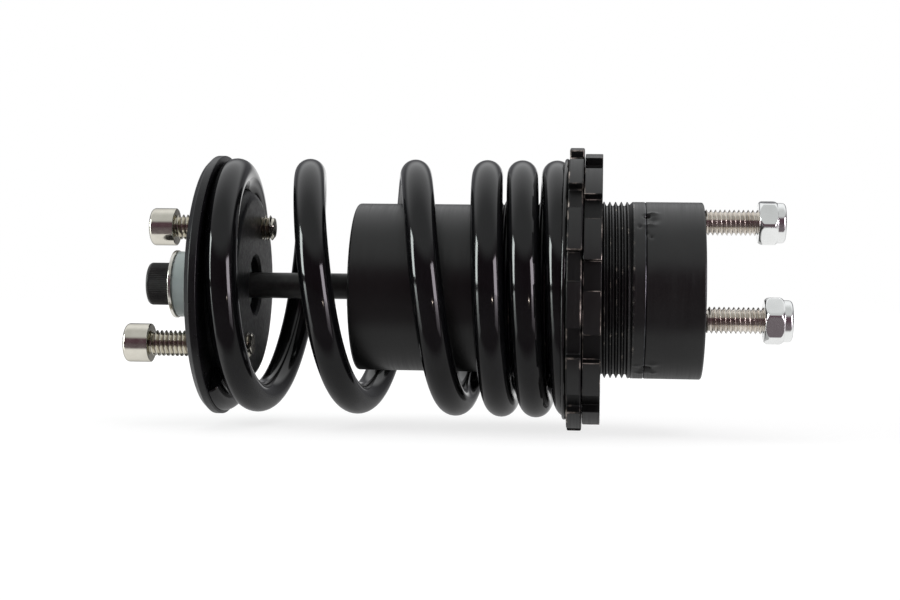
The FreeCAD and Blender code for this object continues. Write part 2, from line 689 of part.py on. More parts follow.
def lock_nut(which, y, z):
    """Hexagon nut with a round collar that is hollow for the locking ring."""
    hexa = hexagon(which + "_nut_hexagon", "nut_width", "nut_hex_height", "stud_neck", y, z,
                   which + "_nut_turn")
    round_part = turned(which + "_nut_collar", "stud_neck + nut_hex_height / 2", [
        ("0", "bolt_tap"),
        ("0", "nut_collar_diameter / 2"),
        ("nut_height - nut_hex_height / 2 - nut_collar_edge", "nut_collar_diameter / 2"),
        ("nut_height - nut_hex_height / 2", "nut_collar_diameter / 2 - nut_collar_edge"),
        ("nut_height - nut_hex_height / 2", "bolt_tap + insert_lip"),
        ("nut_height - nut_hex_height / 2 - insert_lip", "bolt_tap + insert_lip"),
        ("nut_height - nut_hex_height / 2 - insert_lip", "insert_diameter / 2 + press_gap"),
        ("nut_height - nut_hex_height / 2 - insert_lip - insert_depth",
         "insert_diameter / 2 + press_gap"),
        ("nut_height - nut_hex_height / 2 - insert_lip - insert_depth", "bolt_tap"),
    ])
    bind(round_part, "Placement.Base.y", y)
    bind(round_part, "Placement.Base.z", z)
    bore = cylinder(which + "_nut_bore", "bolt_tap", "nut_height", "stud_neck", y, z)
    pocket = cylinder(which + "_nut_pocket", "insert_diameter / 2 + press_gap", "nut_height",
                      "stud_neck + nut_height - insert_lip - insert_depth", y, z)
    drilled = cut(which + "_nut_drilled", hexa, fused(which + "_nut_room", [bore, pocket]))
    return fused(which + "_lock_nut", [drilled, round_part])


def castle_ring(name, reach, diameter, thickness, turn):
    """Ring with spanner notches, its bore running on the crest of the thread."""
    body = turned(name, "-(%s + %s)" % (reach, thickness), [
        ("0", "seat_bore / 2 + ring_chamfer"),
        ("0", diameter + " / 2 - ring_chamfer"),
        ("ring_chamfer", diameter + " / 2"),
        (thickness + " - ring_chamfer", diameter + " / 2"),
        (thickness, diameter + " / 2 - ring_chamfer"),
        (thickness, "seat_bore / 2 + ring_chamfer"),
        (thickness + " - ring_chamfer", "seat_bore / 2"),
        ("ring_chamfer", "seat_bore / 2"),
    ])
    sketch = body.newObject("Sketcher::SketchObject", name + "_notch_sketch")
    sketch.AttachmentSupport = [(origin_plane(body, "YZ_Plane"), "")]
    sketch.MapMode = "FlatFace"
    half = size("notch_width") / 2
    low = size(diameter) / 2 - size("notch_depth")
    high = size(diameter) / 2 + size("notch_depth")
    spots = [(low, -half), (high, -half), (high, half), (low, half)]
    for i in range(4):
        a, b = spots[i], spots[(i + 1) % 4]
        sketch.addGeometry(Part.LineSegment(FreeCAD.Vector(a[0], a[1], 0),
                                            FreeCAD.Vector(b[0], b[1], 0)), False)
    for i in range(4):
        sketch.addConstraint(Sketcher.Constraint("Coincident", i, 2, (i + 1) % 4, 1))
    for i in (0, 2):
        sketch.addConstraint(Sketcher.Constraint("Horizontal", i))
    sketch.addConstraint(Sketcher.Constraint("Vertical", 1))
    sketch.addConstraint(Sketcher.Constraint("Symmetric", 3, 1, 3, 2, -1))
    inner = sketch.addConstraint(Sketcher.Constraint("DistanceX", -1, 1, 0, 1, low))
    outer = sketch.addConstraint(Sketcher.Constraint("DistanceX", -1, 1, 0, 2, high))
    across = sketch.addConstraint(Sketcher.Constraint("DistanceY", 1, 1, 1, 2, 2 * half))
    sketch.setExpression("Constraints[%d]" % inner, bound(diameter + " / 2 - notch_depth"))
    sketch.setExpression("Constraints[%d]" % outer, bound(diameter + " / 2 + notch_depth"))
    sketch.setExpression("Constraints[%d]" % across, bound("notch_width"))
    doc.recompute()
    before = body.Shape.Volume
    notch = body.newObject("PartDesign::Pocket", name + "_notch")
    notch.Profile = sketch
    notch.Type = "ThroughAll"
    notch.Reversed = True
    sketch.Visibility = False
    doc.recompute()
    notches = body.newObject("PartDesign::PolarPattern", name + "_notches")
    notches.Originals = [notch]
    notches.Axis = (sketch, ["N_Axis"])
    notches.Angle = 360
    bind(notches, "Occurrences", "notch_count")
    body.Tip = notches
    doc.recompute()
    least = size("notch_count") * size("notch_width") * size("notch_depth") * size(thickness) / 2
    if before - body.Shape.Volume < least:
        raise RuntimeError("the notches of %s cut too little" % name)
    half_step = 180.0 / size("notch_count")
    spin = FreeCAD.Rotation(FreeCAD.Vector(1, 0, 0), 180 - size(turn) + half_step)
    body.Placement = FreeCAD.Placement(body.Placement.Base, spin)
    return node(name, body)


def adjuster():
    """Spring seat, adjuster ring and lock ring, in a row on the thread."""
    node("spring_seat", turned("spring_seat", "- seat_face - seat_spigot", [
        ("0", "seat_bore / 2"),
        ("0", "locator_diameter / 2 - ring_chamfer"),
        ("ring_chamfer", "locator_diameter / 2"),
        ("seat_spigot", "locator_diameter / 2"),
        ("seat_spigot", "seat_diameter / 2"),
        ("seat_spigot + seat_thickness", "seat_diameter / 2"),
        ("seat_spigot + seat_thickness", "seat_bore / 2"),
    ]))
    castle_ring("adjuster_ring", "adjuster_reach", "adjuster_diameter", "adjuster_thickness",
                "adjuster_turn")
    castle_ring("lock_ring", "lock_ring_reach", "lock_ring_diameter", "lock_ring_thickness",
                "lock_ring_turn")


def eased(turn, first, last):
    """How far a smooth step from 0 to 1 between two turns has added up by this turn."""
    if turn <= first:
        return 0.0
    span = last - first
    if turn >= last:
        return span / 2 + (turn - last)
    share = (turn - first) / span
    return span * (share ** 3 - share ** 4 / 2)


def spring_course():
    """The wire's centre line as a function of turns, and its total number of turns."""
    turns = size("spring_turns")
    radius = (size("spring_bore") + size("wire_diameter")) / 2
    start = -size("plate_face") - size("plate_grind")
    finish = -size("seat_face") + size("base_grind")
    opened = eased(turns, size("open_from"), size("open_by"))
    closed = eased(turns, size("close_from"), size("close_by"))
    rest = finish - start - size("plate_pitch") * (turns - opened) - size("base_pitch") * closed
    open_pitch = rest / (opened - closed)

    def advance(turn):
        rise = eased(turn, size("open_from"), size("open_by"))
        fall = eased(turn, size("close_from"), size("close_by"))
        gained = size("plate_pitch") * (turn - rise) + open_pitch * (rise - fall)
        return start + gained + size("base_pitch") * fall

    def spot(turn):
        angle = math.radians(size("spring_start_angle")) + 2 * math.pi * turn
        return FreeCAD.Vector(advance(turn), radius * math.cos(angle), radius * math.sin(angle))

    def heading(turn):
        small = 1e-4
        way = spot(turn + small) - spot(turn - small)
        return way.normalize()
    return spot, heading, turns, open_pitch


def arc_from(start, heading, end):
    """The arc that leaves start along heading and ends at end."""
    chord = end - start
    inward = chord - heading * chord.dot(heading)
    inward.normalize()
    radius = chord.dot(chord) / (2 * inward.dot(chord))
    centre = start + inward * radius
    middle = (start - centre) + (end - centre)
    middle.normalize()
    return Part.Arc(start, centre + middle * radius, end).toShape(), radius


def biarc(start, leave, end, arrive):
    """Two arcs that join two points and keep the direction at both."""
    chord = end - start
    both = leave + arrive
    spread = 2 * (1 - leave.dot(arrive))
    along = chord.dot(both)
    reach = (math.sqrt(along * along + spread * chord.dot(chord)) - along) / spread
    joint = (start + end + (leave - arrive) * reach) * 0.5
    first, first_radius = arc_from(start, leave, joint)
    second, second_radius = arc_from(end, arrive * -1, joint)
    return [first, second], min(first_radius, second_radius)


def least_gap(spot, turns, wire):
    """Least space between the wire and its next turns, measured on points."""
    steps = 96
    points = [spot(i / steps) for i in range(int(turns * steps) + 1)]
    near = []
    for i, point in enumerate(points):
        for other in points[i + steps // 2:]:
            near.append(point.distanceToPoint(other))
    return min(near) - wire


def coil_spring():
    """Closed and ground coil spring, wound right-handed in one piece of wire."""
    spot, heading, turns, open_pitch = spring_course()
    wire = size("wire_diameter")
    quarters = int(math.ceil(turns * 4))
    edges = []
    tightest = 1e9
    for i in range(quarters):
        a = turns * i / quarters
        b = turns * (i + 1) / quarters
        pair, radius = biarc(spot(a), heading(a), spot(b), heading(b))
        edges += pair
        tightest = min(tightest, radius)
    course = Part.Wire(Part.__sortEdges__(edges))
    section = Part.Wire([Part.Circle(spot(0), heading(0), wire / 2).toShape()])
    tube = course.makePipeShell([section], True, False)
    expected = math.pi * wire ** 2 / 4 * course.Length
    gap = least_gap(spot, turns, wire)
    print("spring: open pitch %.2f, least gap to itself %.2f, tightest arc %.2f" % (
        open_pitch, gap, tightest))
    print("spring: wire %.1f mm long, volume %.1f against %.1f" % (
        course.Length, tube.Volume, expected))
    if gap < 0.4 or abs(tube.Volume / expected - 1) > 0.01:
        raise RuntimeError("the spring's wire meets itself or is not whole")
    room = 2 * size("plate_diameter")
    ground = tube
    for low in (size("face_gap") - size("plate_face") - room, -size("seat_face") - size("face_gap")):
        stone = Part.makeBox(room, room, room, FreeCAD.Vector(low, -room / 2, -room / 2))
        ground = ground.cut(stone)
    print("spring: ground ends take %.1f mm3" % (tube.Volume - ground.Volume))
    if len(ground.Solids) != 1:
        raise RuntimeError("grinding parted the spring")
    made = doc.addObject("Part::Feature", "coil_spring")
    made.Shape = ground.Solids[0]
    node("coil_spring", made)


threaded_body()
end_cap()
o_ring("end_cap_o_ring", "cap_ring_reach")
gland()
central_screw()
piston_group()
floating_piston()
top_perch()
studs_and_nuts()
adjuster()
coil_spring()
doc.recompute()

room_at_bump = size("rod_head_reach") - size("rod_length") - size("stroke") - size("float_reach")
print("stroke %.1f mm leaves %.1f mm before the floating piston, which moves %.5f of it" % (
    size("stroke"), room_at_bump, (size("rod_diameter") / size("tube_bore")) ** 2))
print("the rings move %.6f mm a radian, %.2f mm in all" % (
    size("thread_pitch") / (2 * math.pi), size("thread_pitch") * size("adjuster_turns")))

for thing in doc.Objects:
    if "Invalid" in thing.State or "Error" in thing.State:
        raise RuntimeError("%s did not recompute: %s" % (thing.Name, thing.State))

os.makedirs("parts", exist_ok=True)
for name, thing in NODES.items():
    shape = thing.Shape
    if shape.isNull() or not shape.isValid() or not shape.Solids:
        raise RuntimeError("%s has no sound shape" % name)
    shape.exportStep("parts/%s.step" % name)
    box = shape.BoundBox
    print("%-24s solids %d volume %10.1f  x %8.2f to %8.2f" % (
        name, len(shape.Solids), shape.Volume, box.XMin, box.XMax))
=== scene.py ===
import math

import bmesh
import bpy
from mathutils import Matrix, Vector, noise

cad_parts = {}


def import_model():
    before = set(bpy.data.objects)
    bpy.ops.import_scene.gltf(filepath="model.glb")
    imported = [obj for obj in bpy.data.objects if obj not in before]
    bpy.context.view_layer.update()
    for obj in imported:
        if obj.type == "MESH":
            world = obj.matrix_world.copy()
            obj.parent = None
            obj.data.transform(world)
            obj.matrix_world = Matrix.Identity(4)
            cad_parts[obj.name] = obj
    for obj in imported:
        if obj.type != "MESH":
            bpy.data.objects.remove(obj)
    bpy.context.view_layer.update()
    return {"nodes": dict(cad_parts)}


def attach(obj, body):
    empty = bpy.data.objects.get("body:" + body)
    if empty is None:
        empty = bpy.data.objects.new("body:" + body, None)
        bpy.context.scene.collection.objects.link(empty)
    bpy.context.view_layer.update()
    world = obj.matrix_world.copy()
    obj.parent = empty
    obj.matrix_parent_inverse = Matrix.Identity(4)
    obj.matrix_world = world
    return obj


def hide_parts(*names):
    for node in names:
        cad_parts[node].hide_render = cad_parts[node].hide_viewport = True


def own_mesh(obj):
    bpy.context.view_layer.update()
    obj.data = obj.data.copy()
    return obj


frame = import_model()

# The strut's lengths are millimetres, turned into metres where a mesh is made.
# The studio's lengths are metres.
MM = 0.001

# Places along the strut, from the end cap's outer face, as the CAD model has them
HEAD_TOP = -171.7
HEAD_UNDERSIDE = -163.7
WASHER_END = -162.5
PLATE_TOP = -151.1
BUSHING_STEP = -150.8
PLATE_FACE = -147.3
BUSHING_END = -141.0
BOSS_FACE = -138.1
MOUTH = -105.4
ROD_CHAMFER = -64.7
ROD_END = -63.7
THREAD_START = -63.0
SPIGOT_END = -45.9
SEAT_FACE = -41.9
SEAT_BACK = -40.5
ADJUSTER = (-40.4, -36.0)
LOCK_RING = (-35.7, -30.4)
CAP_SPIGOT_END = -27.0
THREAD_END = -21.2
SEAM = -17.4
CAP_HOLLOW_END = -9.0
NUT_START = 16.9
HEXAGON_END = NUT_START + 5.8
NUT_END = 25.1

TUBE_RADIUS = 25.8
BORE_RADIUS = 22.0
CREST_RADIUS = 27.0
THREAD_PITCH = 1.75
SEAT_BORE = 27.05
ROD_RADIUS = 4.0
# The boss and the seat's spigot both centre the spring
CENTRING_RADIUS = 29.7

# Five sixteenths screws with eighteen threads to the inch
BOLT_RADIUS = 3.97
BOLT_ROOT = 3.15
BOLT_PITCH = 1.411

# Each top screw's place across the plate, and the underside of its head
TOP_SCREWS = (((9.384, 18.338), -165.9), ((-9.384, -18.338), -168.4))
STUDS = ((2.216, 21.084), (-19.367, -8.623))


# Mesh building

# Points closer than this become one, and shorter edges go, in metres
MERGE_DISTANCE = 2e-6
SHORTEST_EDGE = 1e-6
SHARP_ANGLE = math.radians(32.0)


def around(x, radius, turn, centre=(0.0, 0.0)):
    """The point at x and radius, turned about +X from +Y."""
    return Vector((x, centre[0] + radius * math.cos(turn), centre[1] + radius * math.sin(turn)))


def turns_around(segments):
    """Directions of a full turn, the last the same as the first."""
    return [2 * math.pi * (j % segments) / segments for j in range(segments + 1)]


class Shell:
    """Points and faces of one mesh, gathered from several surfaces."""

    def __init__(self):
        self.points = []
        self.faces = []

    def grid(self, rows):
        """Quads between each row of points and the next."""
        first = len(self.points)
        width = len(rows[0])
        for row in rows:
            self.points.extend(row)
        for i in range(len(rows) - 1):
            for j in range(width - 1):
                a = first + i * width + j
                self.faces.append((a, a + 1, a + width + 1, a + width))

    def lathe(self, profile, segments=128, centre=(0.0, 0.0), ripple=None):
        """The profile of x and radius turned about the axis through centre."""
        rows = []
        for turn in turns_around(segments):
            row = []
            for x, radius in profile:
                if ripple:
                    x, radius = ripple(x, radius, turn)
                row.append(around(x, radius, turn, centre))
            rows.append(row)
        self.grid(rows)

    def mesh(self, name):
        """The gathered surfaces in metres, joined where they meet."""
        made = bmesh.new()
        corners = [made.verts.new(point * MM) for point in self.points]
        for face in self.faces:
            made.faces.new([corners[i] for i in face])
        bmesh.ops.remove_doubles(made, verts=made.verts, dist=MERGE_DISTANCE)
        bmesh.ops.dissolve_degenerate(made, edges=made.edges, dist=SHORTEST_EDGE)
        bmesh.ops.recalc_face_normals(made, faces=made.faces)
        mesh = bpy.data.meshes.new(name)
        made.to_mesh(mesh)
        made.free()
        return mesh


def rounded(corners, steps=5):
    """A profile through corners of x, radius and rounding."""
    points = []
    for i, (x, radius, rounding) in enumerate(corners):
        here = Vector((x, radius))
        if rounding == 0 or i in (0, len(corners) - 1):
            points.append(here)
            continue
        back = Vector(corners[i - 1][:2]) - here
        ahead = Vector(corners[i + 1][:2]) - here
        half = back.angle(ahead) / 2
        back.normalize()
        ahead.normalize()
        start = here + back * (rounding / math.tan(half))
        end = here + ahead * (rounding / math.tan(half))
        centre = here + (back + ahead).normalized() * (rounding / math.sin(half))
        sweep = (start - centre).angle(end - centre)
        for step in range(steps + 1):
            share = step / steps
            spoke = ((start - centre) * math.sin((1 - share) * sweep)
                     + (end - centre) * math.sin(share * sweep)) / math.sin(sweep)
            points.append(centre + spoke)
    return [(point.x, point.y) for point in points]


def thread_rows(start, end, root, crest, pitch, held, centre, segments):
    """Rows of a right-hand thread between two places. held(x, radius) trims its ends."""
    # Shares of the pitch where groove and crest begin and end
    marks = ((0.0, root), (0.25, root), (0.5625, crest), (0.6875, crest))
    first = math.floor(start / pitch) - 2
    last = math.ceil(end / pitch) + 1
    rows = []
    for j in range(segments + 1):
        share = j / segments
        row = []
        for k in range(first, last + 1):
            for mark, radius in marks:
                x = min(max(pitch * (k + mark + share), start), end)
                row.append(around(x, held(x, radius), 2 * math.pi * share, centre))
        rows.append(row)
    return rows


def bolt_thread(start, end, core, centre, slope=1.0):
    """Rows of a bolt's thread, cut by a cone at both ends, down to the radius core."""
    def held(x, radius):
        return min(radius, core + slope * min(x - start, end - x))
    return thread_rows(start, end, BOLT_ROOT, BOLT_RADIUS, BOLT_PITCH, held, centre, 48)


def hexagon_radius(width, turn):
    """Distance from a hexagon's middle to its side, in the direction turn."""
    away = (turn + math.pi / 6) % (math.pi / 3) - math.pi / 6
    return width / 2 / math.cos(math.pi / 6 - abs(away))


def socket(shell, top, key, centre=(0.0, 0.0)):
    """A hexagon socket sunk from top, with a chamfered mouth and a drilled bottom."""
    depth, chamfer = 4.0, 0.35
    mouth = key / 2 / math.cos(math.pi / 6) + 0.15
    drilled = key / 2 * 0.86
    rows = []
    for turn in turns_around(72):
        side = hexagon_radius(key, turn)
        levels = ((0.0, mouth), (chamfer, side), (depth, side), (depth, drilled), (depth + key / 5, 0.0))
        rows.append([around(top + below, radius, turn, centre) for below, radius in levels])
    shell.grid(rows)
    return mouth


def wear(mesh, chosen, centre=(0.0, 0.0), within=60.0, look=1):
    """Gives another look to the faces picked by place along and distance from centre."""
    for face in mesh.polygons:
        x, y, z = face.center / MM
        radius = math.hypot(y - centre[0], z - centre[1])
        if radius < within and chosen(x, radius):
            face.material_index = look


def darken_groove(mesh, start, end, centre):
    """Gives a bolt's second look, darker and browner, to the groove of its thread between two places."""
    wear(mesh, lambda x, radius: start < x < end and radius < BOLT_ROOT + 0.06, centre, 5.0)


def piece(name, mesh, looks, body, nodes):
    """Puts a mesh in the scene as the finished form of its CAD nodes."""
    made = bpy.data.objects.new(name, mesh)
    bpy.context.scene.collection.objects.link(made)
    for look in looks:
        mesh.materials.append(LOOKS[look])
    for face in mesh.polygons:
        face.use_smooth = True
    mesh.set_sharp_from_angle(angle=SHARP_ANGLE)
    weighted = made.modifiers.new("normals", "WEIGHTED_NORMAL")
    weighted.keep_sharp = True
    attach(made, body)
    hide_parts(*nodes)
    return made


# Materials

# Most of a noise texture's values lie between these two
NOISE_LOW = 0.3
NOISE_HIGH = 0.7
RINGS_AROUND = (40, 1, 1)


def rgba(colour):
    """Red, green, blue and alpha of a colour or a grey."""
    return (*colour, 1) if isinstance(colour, tuple) else (colour, colour, colour, 1)


class Look:
    """A principled material whose colour, roughness and bump come from noise."""

    def __init__(self, name, colour, roughness, metallic=0.0, specular=0.5, **more):
        self.material = bpy.data.materials.new(name)
        self.material.use_nodes = True
        self.tree = self.material.node_tree
        self.shader = self.tree.nodes["Principled BSDF"]
        self.place = self.tree.nodes.new("ShaderNodeTexCoord").outputs["Object"]
        self.set("Base Color", rgba(colour))
        self.set("Roughness", roughness)
        self.set("Metallic", metallic)
        self.set("Specular IOR Level", specular)
        for socket_name, value in more.items():
            self.set(socket_name.replace("_", " "), value)

    def set(self, socket_name, value):
        self.shader.inputs[socket_name].default_value = value

    def noise(self, scale, detail=3.0, stretch=(1, 1, 1)):
        """Noise with features of 1 / scale metres, stretched along the axes."""
        move = self.tree.nodes.new("ShaderNodeMapping")
        move.inputs["Scale"].default_value = [scale * s for s in stretch]
        grain = self.tree.nodes.new("ShaderNodeTexNoise")
        grain.inputs["Scale"].default_value = 1.0
        grain.inputs["Detail"].default_value = detail
        self.tree.links.new(self.place, move.inputs["Vector"])
        self.tree.links.new(move.outputs["Vector"], grain.inputs["Vector"])
        return grain.outputs["Fac"]

    def vary(self, socket_name, value, stops):
        """An input that takes colours or greys at places along a noise value."""
        made = self.tree.nodes.new("ShaderNodeValToRGB")
        while len(made.color_ramp.elements) < len(stops):
            made.color_ramp.elements.new(0.5)
        for element, (place, colour) in zip(made.color_ramp.elements, stops):
            element.position = place
            element.color = rgba(colour)
        self.tree.links.new(value, made.inputs["Fac"])
        self.tree.links.new(made.outputs["Color"], self.shader.inputs[socket_name])

    def blend(self, socket_name, value, low, high, start=NOISE_LOW, end=NOISE_HIGH):
        """An input that goes from low to high as a noise value goes from start to end."""
        self.vary(socket_name, value, ((start, low), (end, high)))

    def bump(self, value, height, strength=1.0):
        """Relief of height millimetres from a noise value, over any relief before it."""
        made = self.tree.nodes.new("ShaderNodeBump")
        made.inputs["Strength"].default_value = strength
        made.inputs["Distance"].default_value = height * MM
        self.tree.links.new(value, made.inputs["Height"])
        before = self.shader.inputs["Normal"].links
        if before:
            self.tree.links.new(before[0].from_socket, made.inputs["Normal"])
        self.tree.links.new(made.outputs["Normal"], self.shader.inputs["Normal"])


def gloss_black(name):
    """Thick gloss paint with a faint orange peel."""
    look = Look(name, (0.003, 0.003, 0.0033), 0.07, specular=0.46)
    look.blend("Base Color", look.noise(90), (0.0022, 0.0022, 0.0025), (0.0042, 0.0042, 0.0048))
    look.blend("Roughness", look.noise(160, 4), 0.06, 0.12, end=0.75)
    look.bump(look.noise(420, 2), 0.009, 0.35)
    return look.material


def anodised(name, low=0.0025, high=0.005, smooth=0.3, rough=0.42, specular=0.7):
    """Black anodised metal with turning marks round it."""
    look = Look(name, low, 0.36, specular=specular)
    look.blend("Base Color", look.noise(120, 5), low, high)
    look.blend("Roughness", look.noise(60, 4, RINGS_AROUND), smooth, rough)
    look.bump(look.noise(45, 3, RINGS_AROUND), 0.012, 0.5)
    look.bump(look.noise(2500, 2), 0.01, 0.4)
    return look.material


def worn_edge(name):
    """Corners of a blackened ring, rubbed through here and there."""
    look = Look(name, 0.02, 0.35, specular=0.32)
    rub = look.noise(210, 6)
    look.vary("Base Color", rub, (
        (0.50, 0.006),
        (0.57, (0.09, 0.075, 0.065)),
        (0.66, (0.52, 0.46, 0.42)),
    ))
    look.blend("Metallic", rub, 0.0, 0.9, 0.56, 0.64)
    look.blend("Roughness", look.noise(900, 4), 0.3, 0.48)
    return look.material


def rubbed(name, low, high, bare):
    """Black finish rubbed thin along an edge, bare in spots where the noise is over bare."""
    look = Look(name, low, 0.3, specular=0.7)
    rub = look.noise(420, 5)
    look.vary("Base Color", rub, (
        (bare - 0.12, low),
        (bare, high),
        (bare + 0.1, (0.34, 0.31, 0.27)),
    ))
    look.blend("Metallic", rub, 0.0, 0.8, bare - 0.05, bare + 0.08)
    look.blend("Roughness", look.noise(900, 4), 0.12, 0.3)
    return look.material


def cast_black(name):
    """Coarse cast surface under black paint."""
    look = Look(name, 0.012, 0.45, specular=0.13)
    look.blend("Base Color", look.noise(1600, 3), 0.001, (0.010, 0.011, 0.013), start=0.35)
    look.blend("Roughness", look.noise(900, 5), 0.28, 0.42)
    look.bump(look.noise(1650, 2), 0.2)
    return look.material


def plate_paint(name):
    """Thin semi-gloss black on pressed steel."""
    look = Look(name, (0.008, 0.008, 0.009), 0.28, specular=0.4)
    look.blend("Base Color", look.noise(150, 5), (0.003, 0.003, 0.0035), (0.006, 0.006, 0.007))
    look.blend("Roughness", look.noise(500, 5), 0.26, 0.36)
    look.bump(look.noise(1300, 3), 0.03, 0.5)
    return look.material


def metal(name, dark, pale, smooth, rough, scale=260, edge=1.0):
    """Bare or plated metal with soft stains and fine grain, dimmed by edge at a low angle."""
    look = Look(name, pale, smooth, metallic=1.0, Specular_Tint=rgba(edge))
    look.blend("Base Color", look.noise(scale, 5), dark, pale)
    look.blend("Roughness", look.noise(scale * 2, 4), smooth, rough)
    look.bump(look.noise(1400, 3), 0.008, 0.5)
    return look.material


def black_oxide(name):
    """Blackened steel, slightly oily."""
    look = Look(name, 0.03, 0.32, metallic=0.55)
    look.blend("Base Color", look.noise(420, 5), 0.028, (0.044, 0.043, 0.042))
    look.blend("Roughness", look.noise(700, 4), 0.29, 0.38)
    look.bump(look.noise(1800, 3), 0.01, 0.5)
    return look.material


def nylon(name, colour, deep):
    """Slightly see-through nylon."""
    look = Look(name, colour, 0.38, specular=0.45, Subsurface_Weight=0.35, Subsurface_Scale=0.003)
    look.set("Subsurface Radius", (0.8, 0.9, 1.0))
    look.blend("Base Color", look.noise(110, 4), deep, colour)
    look.blend("Roughness", look.noise(600, 3), 0.3, 0.46)
    look.bump(look.noise(60, 2, RINGS_AROUND), 0.02, 0.4)
    return look.material


def rubber(name, low=0.008, high=0.02):
    """Black rubber with a dull bloom."""
    look = Look(name, low, 0.7, specular=0.35)
    look.blend("Base Color", look.noise(300, 5), low, high)
    look.blend("Roughness", look.noise(500, 4), 0.6, 0.85)
    look.bump(look.noise(1800, 3), 0.02, 0.6)
    return look.material


LOOKS = {
    "spring_coating": gloss_black("spring_coating"),
    "body_black": anodised("body_black"),
    "ring_black": anodised("ring_black", 0.003, 0.006),
    # Sides and floors of the ring's notches: rougher and duller as milled, and darker in colour as
    # painted shade where the teeth shade them
    "ring_cut_and_shade": anodised("ring_cut_and_shade", 0.002, 0.004, smooth=0.36, rough=0.5, specular=0.35),
    "ring_edge": worn_edge("ring_edge"),
    "seat_black": anodised("seat_black", 0.002, 0.004, smooth=0.09, rough=0.15),
    "seam_edge": metal("seam_edge", (0.05, 0.05, 0.055), (0.13, 0.13, 0.14), 0.08, 0.2, scale=420),
    "thread_crest": rubbed("thread_crest", (0.006, 0.006, 0.006), (0.03, 0.029, 0.027), bare=0.58),
    "locator_cast": cast_black("locator_cast"),
    "plate_black": plate_paint("plate_black"),
    "black_oxide": black_oxide("black_oxide"),
    "screw_chrome": metal("screw_chrome", (0.70, 0.67, 0.59), (0.83, 0.80, 0.71), 0.09, 0.2,
                          edge=0.5),
    "stud_steel": metal("stud_steel", (0.74, 0.69, 0.63), (0.96, 0.93, 0.88), 0.10, 0.22),
    "stud_root": metal("stud_root", (0.42, 0.38, 0.34), (0.72, 0.67, 0.61), 0.16, 0.3),
    "nut_plating": metal("nut_plating", (0.90, 0.91, 0.90), (0.97, 0.98, 0.97), 0.09, 0.18),
    "thread_root": metal("thread_root", (0.17, 0.14, 0.11), (0.40, 0.35, 0.27), 0.22, 0.36),
    "washer_steel": metal("washer_steel", (0.62, 0.60, 0.54), (0.82, 0.80, 0.75), 0.16, 0.3),
    "clip_steel": metal("clip_steel", (0.10, 0.10, 0.11), (0.2, 0.2, 0.21), 0.25, 0.4),
    "guide_metal": metal("guide_metal", (0.45, 0.45, 0.46), (0.6, 0.6, 0.61), 0.28, 0.42),
    "bush_bronze": metal("bush_bronze", (0.42, 0.26, 0.12), (0.58, 0.38, 0.19), 0.25, 0.42),
    "bushing_nylon": nylon("bushing_nylon", (0.42, 0.47, 0.465), (0.36, 0.41, 0.40)),
    "insert_nylon": nylon("insert_nylon", (0.70, 0.72, 0.76), (0.60, 0.62, 0.68)),
    "band_plastic": nylon("band_plastic", (0.30, 0.20, 0.12), (0.22, 0.14, 0.08)),
    "seal_rubber": rubber("seal_rubber"),
    "bumper_rubber": rubber("bumper_rubber", 0.012, 0.03),
}


# Damper body

AROUND_COLLAR = 360
SEAM_ROUNDING = 0.4
# How steeply the adjuster's thread rises from the tube and runs out in the collar
RUN_OUT = 0.8

# Stake marks: angle above the camera side, place along, depth, size around and size along
STAKE_MARKS = (
    (54.5, -17.2, 1.2, 0.75, 0.9),
    (57.0, -15.6, -0.5, 0.7, 1.6),
    (50.0, -15.4, 0.5, 1.2, 1.6),
    (45.0, -16.6, -0.4, 0.5, 1.8),
    (44.0, -19.4, 0.5, 0.6, 0.6),
    (38.0, -17.2, 0.4, 0.8, 0.5),
    (35.0, -16.0, 0.45, 0.6, 0.6),
    (-60.5, -16.9, 1.7, 0.9, 1.3),
    (-54.5, -15.0, -0.45, 0.9, 1.5),
    (-66.5, -18.6, -0.4, 0.8, 1.4),
    (-66.0, -14.8, -0.35, 0.8, 1.1),
    (-56.5, -19.6, -0.3, 0.5, 1.0),
    (176.0, -17.0, 1.0, 0.9, 1.0),
    (171.0, -16.0, -0.3, 0.8, 1.2),
)


def stake_marks(x, radius, turn):
    """Punched dents and raised lips where the collar was staked at the seam."""
    if radius < CREST_RADIUS - 0.7 or x < THREAD_END:
        return x, radius
    for angle, along, depth, wide, long in STAKE_MARKS:
        place = math.pi - math.radians(angle)
        gap = ((turn - place + math.pi) % (2 * math.pi) - math.pi) * radius
        away = math.hypot((x - along) / long, gap / wide)
        radius -= depth * math.exp(-away * away)
    return x, radius


